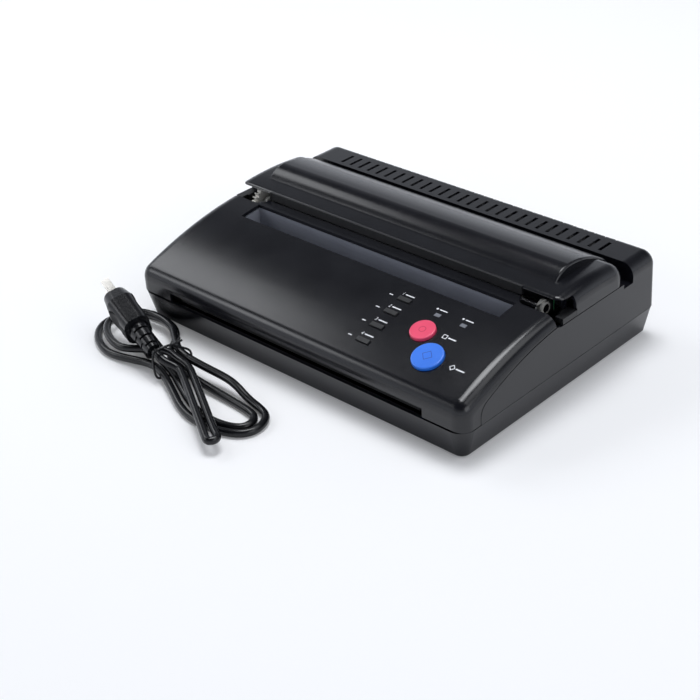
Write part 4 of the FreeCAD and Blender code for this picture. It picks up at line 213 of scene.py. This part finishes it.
plastics = {
    "black_shell": {
        "colour": (0.0032, 0.0035, 0.0056), "cloud": (0.0046, 0.0050, 0.0076), "roughness": 0.23,
        "spread": 0.07, "grain": 2600, "depth": 0.000012, "level": 0.5, "coat": 0.0},
    "black_inner": {
        "colour": (0.0060, 0.0062, 0.0075), "cloud": (0.0090, 0.0093, 0.0105), "roughness": 0.42,
        "spread": 0.10, "grain": 1800, "depth": 0.000020, "level": 0.45, "coat": 0.0},
    # painted reflection: the document chute is dark, and this light grey stands in for the sheen its face
    # reflects
    "chute_satin": {
        "colour": (0.225, 0.235, 0.275), "cloud": (0.255, 0.265, 0.305), "roughness": 0.46,
        "spread": 0.10, "grain": 1800, "depth": 0.000020, "level": 0.45, "coat": 0.0},
    "black_rubber": {
        "colour": (0.0140, 0.0140, 0.0150), "cloud": (0.0210, 0.0210, 0.0220), "roughness": 0.72,
        "spread": 0.12, "grain": 1500, "depth": 0.000035, "level": 0.35, "coat": 0.0},
    "grey_rubber": {
        "colour": (0.055, 0.056, 0.060), "cloud": (0.075, 0.076, 0.080), "roughness": 0.80,
        "spread": 0.10, "grain": 2400, "depth": 0.000040, "level": 0.30, "coat": 0.0},
    "white_nylon": {
        "colour": (0.74, 0.72, 0.66), "cloud": (0.82, 0.80, 0.75), "roughness": 0.42,
        "spread": 0.10, "grain": 900, "depth": 0.000015, "level": 0.45, "coat": 0.0},
    "grey_switch": {
        "colour": (0.060, 0.061, 0.066), "cloud": (0.085, 0.086, 0.092), "roughness": 0.50,
        "spread": 0.10, "grain": 1800, "depth": 0.000020, "level": 0.40, "coat": 0.0},
    "key_black": {
        "colour": (0.0090, 0.0094, 0.0110), "cloud": (0.0130, 0.0134, 0.0150), "roughness": 0.38,
        "spread": 0.08, "grain": 2200, "depth": 0.000018, "level": 0.50, "coat": 0.0},
    "pink_red": {
        "colour": (0.78, 0.050, 0.130), "cloud": (0.86, 0.075, 0.165), "roughness": 0.34,
        "spread": 0.08, "grain": 1400, "depth": 0.000014, "level": 0.50, "coat": 0.25},
    "blue": {
        "colour": (0.018, 0.165, 0.760), "cloud": (0.026, 0.195, 0.840), "roughness": 0.34,
        "spread": 0.08, "grain": 1400, "depth": 0.000014, "level": 0.50, "coat": 0.25},
    "cord_black": {
        "colour": (0.0030, 0.0032, 0.0044), "cloud": (0.0048, 0.0050, 0.0064), "roughness": 0.24,
        "spread": 0.09, "grain": 1200, "depth": 0.000030, "level": 0.36, "coat": 0.0},
    "white_print": {
        "colour": (0.74, 0.75, 0.78), "cloud": (0.82, 0.83, 0.86), "roughness": 0.50,
        "spread": 0.05, "grain": 3000, "depth": 0.000005, "level": 0.40, "coat": 0.0},
    "blue_print": {
        "colour": (0.010, 0.055, 0.360), "cloud": (0.014, 0.070, 0.430), "roughness": 0.40,
        "spread": 0.05, "grain": 3000, "depth": 0.000005, "level": 0.40, "coat": 0.0},
    "red_print": {
        "colour": (0.52, 0.020, 0.070), "cloud": (0.60, 0.028, 0.085), "roughness": 0.40,
        "spread": 0.05, "grain": 3000, "depth": 0.000005, "level": 0.40, "coat": 0.0},
}

plasticTexture = {
    "cloudScale": 34, "cloudDetail": 4, "cloudRange": (0.35, 0.70),
    "streakScale": 420, "streakDetail": 2, "streakStretch": (1, 0.35, 1), "streakShare": 0.5,
    "grainDetail": 2, "grainRoughness": 0.65, "coatRoughness": 0.12,
}


def plasticMaterial(name, look):
    material, tree = newMaterial(name)
    texture = plasticTexture
    cloud = tree.noise(texture["cloudScale"], texture["cloudDetail"])
    streaks = tree.noise(texture["streakScale"], texture["streakDetail"], texture["streakStretch"])
    grain = tree.noise(look["grain"], texture["grainDetail"], roughness=texture["grainRoughness"])
    colour = tree.mixColour(tree.ramp(cloud, *texture["cloudRange"]), look["colour"], look["cloud"])
    roughness = (look["roughness"] + swing(cloud, look["spread"])
                 + swing(streaks, look["spread"] * texture["streakShare"]))
    finishMaterial(tree, colour, {
        "Roughness": roughness, "Specular IOR Level": look["level"], "Coat Weight": look["coat"],
        "Coat Roughness": texture["coatRoughness"], "Normal": tree.bump(grain, look["depth"])})
    return material


# Metals: turned or rolled, with fine lines along one axis

metals = {
    "zinc_plate": {
        "colour": (0.50, 0.51, 0.50), "cloud": (0.63, 0.64, 0.64), "roughness": 0.36,
        "spread": 0.16, "lines": (1, 9, 9), "scale": 260, "depth": 0.000010},
    "bright_steel": {
        "colour": (0.60, 0.60, 0.61), "cloud": (0.72, 0.72, 0.73), "roughness": 0.20,
        "spread": 0.10, "lines": (14, 1, 1), "scale": 300, "depth": 0.000006},
    "aluminium_sink": {
        "colour": (0.66, 0.67, 0.69), "cloud": (0.76, 0.77, 0.79), "roughness": 0.33,
        "spread": 0.12, "lines": (1, 12, 12), "scale": 240, "depth": 0.000010},
    "spring_steel": {
        "colour": (0.42, 0.42, 0.43), "cloud": (0.55, 0.55, 0.56), "roughness": 0.26,
        "spread": 0.10, "lines": (4, 4, 1), "scale": 500, "depth": 0.000006},
    "nickel": {
        "colour": (0.68, 0.66, 0.62), "cloud": (0.80, 0.78, 0.74), "roughness": 0.17,
        "spread": 0.10, "lines": (1, 10, 10), "scale": 300, "depth": 0.000006},
}

metalTexture = {
    "cloudScale": 60, "cloudDetail": 4, "cloudRange": (0.30, 0.72),
    "lineDetail": 3, "lineRoughness": 0.6,
}


def metalMaterial(name, look):
    material, tree = newMaterial(name)
    texture = metalTexture
    cloud = tree.noise(texture["cloudScale"], texture["cloudDetail"])
    lines = tree.noise(look["scale"], texture["lineDetail"], look["lines"], texture["lineRoughness"])
    colour = tree.mixColour(tree.ramp(cloud, *texture["cloudRange"]), look["colour"], look["cloud"])
    roughness = look["roughness"] + swing(lines, look["spread"]) + swing(cloud, look["spread"])
    finishMaterial(tree, colour, {
        "Metallic": 1.0, "Roughness": roughness, "Normal": tree.bump(lines, look["depth"])})
    return material


# Boards: solder mask with tracks, and the parts that stand above it

boards = {
    "mask": (0.010, 0.085, 0.034), "track": (0.022, 0.150, 0.060), "pad": (0.60, 0.56, 0.44),
    "part": (0.014, 0.014, 0.016), "can": (0.05, 0.055, 0.075), "thickness": 1.7 * mm,
    "canHeight": 9 * mm, "trackScale": 210, "trackRange": (0.42, 0.48), "padScale": 330,
    "padRange": (0.16, 0.12), "grainScale": 1400, "grainDetail": 2, "roughness": 0.30,
    "partRoughness": 0.14, "spread": 0.08, "depth": 0.00003,
}


def boardMaterial(name, look, node):
    material, tree = newMaterial(name)
    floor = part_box(node)[0].z
    tracks = tree.cells(look["trackScale"], "MANHATTAN")
    pads = tree.cells(look["padScale"])
    grain = tree.noise(look["grainScale"], look["grainDetail"])
    mask = tree.mixColour(tree.ramp(tracks, *look["trackRange"]), look["mask"], look["track"])
    soldered = tree.mixColour(tree.ramp(pads, *look["padRange"]), mask, look["pad"])
    height = tree.axis("Z")
    above = height > floor + look["thickness"]
    tall = height > floor + look["canHeight"]
    colour = tree.mixColour(tall, tree.mixColour(above, soldered, look["part"]), look["can"])
    roughness = look["roughness"] + above * look["partRoughness"] + grain * look["spread"]
    finishMaterial(tree, colour, {"Roughness": roughness, "Normal": tree.bump(tracks, look["depth"])})
    return material


# Glass and lamp windows

glasses = {
    "glass": {"colour": (0.86, 0.92, 0.90), "roughness": 0.04, "through": 0.92},
    "smoke_lens": {"colour": (0.23, 0.24, 0.27), "roughness": 0.16, "through": 0.15},
}

glassTexture = {
    "smearScale": 90, "smearDetail": 3, "smear": 0.05, "refraction": 1.49,
    "rippleScale": 500, "rippleDetail": 2, "depth": 0.000006,
}


def glassMaterial(name, look):
    material, tree = newMaterial(name)
    texture = glassTexture
    smear = tree.noise(texture["smearScale"], texture["smearDetail"])
    ripple = tree.noise(texture["rippleScale"], texture["rippleDetail"])
    finishMaterial(tree, look["colour"], {
        "Roughness": look["roughness"] + smear * texture["smear"], "IOR": texture["refraction"],
        "Transmission Weight": look["through"], "Normal": tree.bump(ripple, texture["depth"])})
    return material


# The head's ceramic bar, with the heater's line along it

ceramic = {
    "colour": (0.70, 0.68, 0.61), "cloud": (0.78, 0.76, 0.70), "line": (0.16, 0.10, 0.05),
    "lineFront": 7.4 * mm, "lineBack": 8.6 * mm, "cloudScale": 160, "cloudDetail": 3,
    "roughness": 0.14, "spread": 0.10, "coat": 0.4, "grainScale": 900, "grainDetail": 2,
    "depth": 0.000008,
}


def ceramicMaterial(name, look):
    material, tree = newMaterial(name)
    cloud = tree.noise(look["cloudScale"], look["cloudDetail"])
    grain = tree.noise(look["grainScale"], look["grainDetail"])
    across = tree.axis("Y")
    heater = (across > look["lineFront"]) * (across < look["lineBack"])
    colour = tree.mixColour(heater, tree.mixColour(cloud, look["colour"], look["cloud"]), look["line"])
    finishMaterial(tree, colour, {
        "Roughness": look["roughness"] + cloud * look["spread"], "Coat Weight": look["coat"],
        "Normal": tree.bump(grain, look["depth"])})
    return material


materials = {"white_ceramic": ceramicMaterial("white_ceramic", ceramic)}
for makeMaterial, looks in ((plasticMaterial, plastics), (metalMaterial, metals), (glassMaterial, glasses)):
    for name, look in looks.items():
        materials[name] = makeMaterial(name, look)
print("materials made")

paintedReflectionFinish = {"document_chute": "chute_satin"}   # painted reflection: a grey lighter than its slot stands in for the sheen on the dark chute

for part in frame["record"]["subparts"]:
    obj = nodes[part["node"]]
    slotName = paintedReflectionFinish.get(part["node"], part["material_slot"])
    if slotName == "green_board":
        finish = boardMaterial("board_" + part["node"], boards, part["node"])
    else:
        finish = materials[slotName]
    obj.data.materials.clear()
    obj.data.materials.append(finish)
print("finishes given to", len(nodes), "nodes")


# Cord set: a hank tied at its waist. Its points are in mm in its own frame: along, across, up

hank = {
    "middle": (-78 * mm, -147 * mm),
    "lean": -13.8,
    "diameter": 5.6 * mm,
    "length": 1.089,            # in metres, along the cord's middle
    "points": [
        (-24.3, 2.9, 4), (-15, 1.9, 4), (-3, 0, 5.3), (10, -0.2, 5.4), (30, -4, 4), (50, -7.2, 2.9),
        (68, -7.2, 2.8), (82, -3.2, 2.8), (91, 1.6, 2.8), (95.6, 7, 2.8), (95.4, 13, 2.8),
        (91.6, 18, 2.8), (85, 20, 2.8), (70, 17.9, 2.9), (48, 13.2, 3.7), (24, 8, 4.9), (2, 5.8, 5.4),
        (-14, 8.6, 5.2), (-30, 22, 3.9), (-44, 29.2, 2.9), (-60, 30.2, 2.8), (-76, 25.2, 2.8),
        (-87, 15.6, 2.8), (-90.4, 3, 2.8), (-87, -9.4, 2.8), (-76, -18.8, 2.8), (-60, -23.4, 2.8),
        (-44, -23.2, 3), (-26, -14.6, 4.1), (-10, -6.6, 5.2), (6, -6, 5.4), (28, -10.2, 4.2),
        (48, -14.6, 3), (64, -15, 2.8), (80, -11.4, 2.8), (93, -5, 2.8), (101.4, 2.6, 2.8),
        (103.6, 11, 2.8), (100.4, 19.6, 2.8), (93.6, 26, 2.8), (84, 27.2, 2.9), (70, 25.2, 4.6),
        (56, 24.4, 8.6), (44, 22.8, 9.4), (24, 16.8, 10.6), (8, 12.6, 11.8), (-6, 12.4, 11.8),
        (-24, 18.8, 10.5), (-38, 24.6, 9.4), (-54, 25, 9.3), (-70, 20.4, 9.3), (-79, 12, 9.3),
        (-81.2, 2.4, 9.3), (-77.6, -8, 9.3), (-66, -15.4, 9.3), (-50, -18.4, 9.3), (-36, -17.2, 9.5),
        (-24, -6.6, 10.6), (-10, 6, 11.7), (6, 6.5, 11.9), (18, 8.4, 11.9), (40, 2.4, 11.6),
        (70, -6.2, 10.2), (96, -13.8, 9.4), (104.4, -15.4, 9.3), (105.6, -19.6, 9.3),
        (103.2, -22.9, 9.3), (96, -20.8, 9.3), (70, -13.2, 10.2), (44, -5.8, 11.5), (27, -1, 11.9),
        (17.5, 1.2, 12.3), (8.5, -6.8, 17), (-2.5, -6.8, 19.5)],
}

tie = {
    "radius": 0.8 * mm,
    "points": [(11, 9, 28.5), (8, 5, 26.4), (5, 2, 24.2), (5, 13.4, 17.6), (5, 17, 14), (5, 17.2, 8.6),
               (5, 10.6, 2.8), (5, 7, 0.8), (5, -7.4, 0.8), (5, -11.6, 3.2), (5, -12, 20.4),
               (5, -8.8, 24), (5, -1, 24.6), (7, 3, 25.4), (9.4, 6, 27), (7.6, 9, 29)],
}

tube = {"order": 3, "steps": 8, "ringSteps": 5}     # of the spline, and steps along and round it


def fromHank(look, points):
    # The points turned by the hank's lean and moved to its middle on the table
    lean = radians(look["lean"])
    u, v, z = np.array(points, float).T * mm
    x = look["middle"][0] + u * cos(lean) - v * sin(lean)
    y = look["middle"][1] + u * sin(lean) + v * cos(lean)
    return np.stack([x, y, z], 1)


def smoothTube(name, points, radius, material):
    # A round tube along a B-spline that the points pull and that starts and ends at the outer two
    curve = bpy.data.curves.new(name, "CURVE")
    curve.dimensions = "3D"
    spline = curve.splines.new("NURBS")
    spline.points.add(len(points) - 1)
    spline.points.foreach_set("co", np.column_stack([points, np.ones(len(points))]).ravel())
    spline.order_u = tube["order"]
    spline.use_endpoint_u = True
    spline.resolution_u = tube["steps"]
    curve.bevel_depth = radius
    curve.bevel_resolution = tube["ringSteps"]
    curve.use_fill_caps = True
    curve.materials.append(material)
    return newObject(name, curve)


cordPoints = fromHank(hank, hank["points"])
cord = smoothTube("mains_cord", cordPoints, hank["diameter"] / 2, materials["cord_black"])
tieWire = smoothTube("tie_wire", fromHank(hank, tie["points"]), tie["radius"], materials["cord_black"])
for piece in (cord, tieWire):
    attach(piece, "case")
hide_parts("cord_hank", "cord_start", "cord_end")
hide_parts("twist_tie")
print("cord laid")


# Printed marks, on the operation panel's arc

panelArc = {"radius": 309 * mm, "crown": 17.8 * mm, "rear": (-1.5 * mm, 64 * mm)}


def panelRise(y):
    # Height over the arc's centre: root of radius squared less distance from the crown squared
    return np.sqrt(panelArc["radius"] ** 2 - (y - panelArc["crown"]) ** 2)


def panelHeight(y):
    # The arc's height over y, moved up or down to meet its rear edge
    rearY, rearZ = panelArc["rear"]
    return rearZ + panelRise(y) - panelRise(rearY)


def meshPiece(name, points, faces, material, body):
    mesh = bpy.data.meshes.new(name)
    mesh.from_pydata([tuple(point) for point in points], [], [tuple(face) for face in faces])
    mesh.validate()
    mesh.materials.append(material)
    obj = newObject(name, mesh)
    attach(obj, body)
    return obj


def slab(outline, thickness):
    # A closed flat prism over an outline of (x, y), from 0 up to its thickness
    count = len(outline)
    low = np.column_stack([outline, np.zeros(count)])
    high = np.column_stack([outline, np.full(count, thickness)])
    turns = np.arange(count)
    following = (turns + 1) % count
    sides = np.column_stack([turns, following, following + count, turns + count])
    faces = [list(turns[::-1]), list(turns + count)] + sides.tolist()
    return np.vstack([low, high]), faces


def frameSlab(outer, inner, thickness):
    # A closed flat ring between two outlines of the same count, from 0 up to its thickness
    count = len(outer)
    layers = [np.column_stack([outline, np.full(count, z)])
              for z in (0, thickness) for outline in (outer, inner)]
    turns = np.arange(count)
    following = (turns + 1) % count
    faces = []
    for first, second in ((0, 2), (3, 1), (2, 3), (1, 0)):
        faces += np.column_stack([turns + first * count, following + first * count,
                                  following + second * count, turns + second * count]).tolist()
    return np.vstack(layers), faces


def polygon(sides, radius, turn=0.0):
    # Corners at even angles on a circle, the first one turned by some degrees
    angles = np.arange(sides) * 2 * pi / sides + radians(turn)
    return np.column_stack([np.cos(angles), np.sin(angles)]) * radius


def bar(length, width, lean):
    # A rectangle about 0 whose corners move along by their height times the lean
    corners = np.array([[-1, -1], [1, -1], [1, 1], [-1, 1]]) * np.array([length, width]) / 2
    return corners + np.column_stack([corners[:, 1] * lean, np.zeros(4)])


marks = {
    "thickness": 0.05 * mm,
    "lift": 0.01 * mm,      # above the face that carries the mark
    "lean": 0.2,            # of numerals and bars, as a share of their height
    "numeral": 3.6 * mm,
    "numeralPlace": (50.3 * mm, -39.9 * mm),
    "rows": 4,
    "rowPitch": 13.8 * mm,
    "dotRadius": 0.8 * mm,
    "dotSides": 20,
    # The lists are in mm. Bars: x, y, length, width. Frames: x, y, outer and inner radius, turn
    "rowBars": [(56.3, -39.9, 7.6, 0.9), (43.2, -44.4, 3.2, 0.7)],
    "bars": [(86.7, -41, 6.4, 0.9), (108.8, -41, 6.4, 0.9), (109.7, -59.9, 6.4, 1), (132.1, -78.8, 6.8, 1)],
    "dots": [(81.5, -41), (103.6, -41)],
    "frames": [(103.7, -59.9, 2.5, 1.7, 45), (125.7, -78.8, 2.4, 1.6, 0)],
}


def numeral(text, look):
    # A numeral's closed outline mesh from Blender's own plain font, standing on 0
    letter = bpy.data.curves.new("numeral", "FONT")
    letter.body = text
    letter.size = look["numeral"]
    letter.shear = look["lean"]
    letter.extrude = look["thickness"] / 2
    letter.align_x = "CENTER"
    letter.align_y = "CENTER"
    holder = newObject("numeral", letter)
    mesh = bpy.data.meshes.new_from_object(holder.evaluated_get(bpy.context.evaluated_depsgraph_get()))
    points = np.zeros(len(mesh.vertices) * 3)
    mesh.vertices.foreach_get("co", points)
    points = points.reshape(-1, 3) + np.array([0, 0, look["thickness"] / 2])
    faces = [list(face.vertices) for face in mesh.polygons]
    bpy.data.objects.remove(holder)
    return points, faces


def gather(pieces):
    # Joins (points, faces, x, y) into one mesh laid on the panel
    points, faces, start = [], [], 0
    for shape, sides, x, y in pieces:
        points.append(shape + np.array([x, y, 0]))
        faces += [[start + corner for corner in face] for face in sides]
        start += len(shape)
    laid = np.vstack(points)
    laid[:, 2] += panelHeight(laid[:, 1]) + marks["lift"]
    return laid, faces


def panelMarks(look):
    # A row of numeral and bars for each key, then the lamps' and the buttons' marks
    thick = look["thickness"]
    pieces = []
    for row in range(look["rows"]):
        forward = row * look["rowPitch"]
        x, y = look["numeralPlace"]
        pieces.append((*numeral(str(row + 1), look), x, y - forward))
        for x, y, length, width in np.array(look["rowBars"]) * mm:
            pieces.append((*slab(bar(length, width, look["lean"]), thick), x, y - forward))
    for x, y, length, width in np.array(look["bars"]) * mm:
        pieces.append((*slab(bar(length, width, look["lean"]), thick), x, y))
    for x, y in np.array(look["dots"]) * mm:
        pieces.append((*slab(polygon(look["dotSides"], look["dotRadius"]), thick), x, y))
    for x, y, outer, inner, turn in look["frames"]:
        square = frameSlab(polygon(4, outer * mm, turn), polygon(4, inner * mm, turn), thick)
        pieces.append((*square, x * mm, y * mm))
    points, faces = gather(pieces)
    return meshPiece("panel_marks", points, faces, materials["white_print"], "panel")


panelMarks(marks)

buttonMarks = {
    "stop": {"centre": (87.3 * mm, -62.6 * mm), "rise": 2.2 * mm, "body": "stop_button",
             "outer": 2.6 * mm, "inner": 2.1 * mm, "sides": 24, "ink": "red_print", "slot": "pink_red"},
    "copy": {"centre": (105.6 * mm, -79 * mm), "rise": 2.2 * mm, "body": "copy_button",
             "outer": 4.2 * mm, "inner": 3.6 * mm, "sides": 4, "ink": "blue_print", "slot": "blue"},
}


def buttonMark(name, look):
    # A plain ring or diamond, raised a hair on the button's top, which leans as the arc does there:
    # the slope is the distance from the crown over the arc's rise, downwards to the front
    ring, faces = frameSlab(polygon(look["sides"], look["outer"]), polygon(look["sides"], look["inner"]),
                            marks["thickness"])
    x, y = look["centre"]
    slope = float((panelArc["crown"] - y) / panelRise(y))
    steep = sqrt(1 + slope ** 2)
    normal = np.array([0, -slope, 1]) / steep
    backward = np.array([0, 1, slope]) / steep
    base = np.array([x, y, panelHeight(y)]) + normal * (look["rise"] + marks["lift"])
    points = base + ring[:, :1] * np.array([1, 0, 0]) + ring[:, 1:2] * backward + ring[:, 2:] * normal
    return meshPiece(name + "_button_mark", points, faces, materials[look["ink"]], look["body"])


for name, look in buttonMarks.items():
    buttonMark(name, look)
print("marks printed")


# Table, light and surroundings

studio = {
    "floor": (0.93, 0.93, 0.94),
    "floorGlow": 0.10,          # share of plain white that the camera sees added to the table
    "floorSize": 12,
    "backdrop": (1, 1, 1),      # what the camera sees past the table
    "horizon": 0.95,            # greys of the sky, from the table's edge upwards
    "middle": 0.06,
    "zenith": 0.08,
    "horizonTop": 0.22,         # heights on the sky, 1 at the zenith
    "middleTop": 0.62,
    "tint": (0.88, 0.92, 1.0),
    "lampColour": (0.95, 0.97, 1.0),
    "lamps": {
        "key": {"place": (-0.3, 0.4, 2.4), "aim": (0, 0, 0.05), "size": (1.1, 1.1), "power": 37},
        "overhead": {"place": (1.1, 0.7, 2.1), "aim": (0, -0.05, 0), "size": (1.4, 1.2), "power": 10},
        "left": {"place": (-1.4, -0.1, 1.2), "aim": (-0.1, 0, 0.05), "size": (0.7, 0.7), "power": 6},
        "front_left": {"place": (-1.25, -1.1, 0.95), "aim": (-0.1, 0, 0.05), "size": (0.5, 0.5),
                       "power": 3},
        "right": {"place": (2.1, -0.2, 1.2), "aim": (0, 0, 0.05), "size": (1.2, 1.0), "power": 8},
    },
}


def makeTable(look):
    half = look["floorSize"] / 2
    mesh = bpy.data.meshes.new("table")
    mesh.from_pydata([(-half, -half, 0), (half, -half, 0), (half, half, 0), (-half, half, 0)], [],
                     [(0, 1, 2, 3)])
    material, tree = newMaterial("table")
    share = tree.node("LightPath", output="Is Camera Ray") * look["floorGlow"]
    diffuse = tree.node("BsdfDiffuse", values={"Color": (*look["floor"], 1)})
    glow = tree.node("Emission", values={"Color": (*look["backdrop"], 1), "Strength": 1.0})
    surface = tree.node("MixShader", values={0: share, 1: diffuse, 2: glow})
    tree.node("OutputMaterial", values={"Surface": surface})
    mesh.materials.append(material)
    newObject("table", mesh)


def makeWorld(look):
    # Greys by height on the sky light the machine, and the camera sees the plain backdrop
    world = bpy.data.worlds.new("studio")
    bpy.context.scene.world = world
    world.use_nodes = True
    tree = ShaderTree(world.node_tree)
    way = tree.node("TexCoord", output="Generated")
    height = tree.node("SeparateXYZ", values={"Vector": way}, output="Z")
    stops = [(0.0, look["horizon"]), (look["horizonTop"], look["horizon"]),
             (look["middleTop"], look["middle"]), (1.0, look["zenith"])]
    sky = tree.node("ValToRGB", {"stops": stops}, {"Fac": height})
    tinted = tree.mixColour(1.0, sky, look["tint"], "MULTIPLY")
    seen = tree.node("LightPath", output="Is Camera Ray")
    light = tree.node("Background", values={"Color": tree.mixColour(seen, tinted, look["backdrop"]),
                                            "Strength": 1.0})
    tree.node("OutputWorld", values={"Surface": light})


def makeLamps(look):
    for name, lamp in look["lamps"].items():
        data = bpy.data.lights.new(name, "AREA")
        data.shape = "RECTANGLE"
        data.size, data.size_y = lamp["size"]
        data.energy = lamp["power"]
        data.color = look["lampColour"]
        place = Vector(lamp["place"])
        away = place - Vector(lamp["aim"])
        turned = away.to_track_quat("Z", "Y").to_matrix().to_4x4()
        newObject(name, data).matrix_world = Matrix.Translation(place) @ turned


makeTable(studio)
makeWorld(studio)
makeLamps(studio)
print("studio lit")
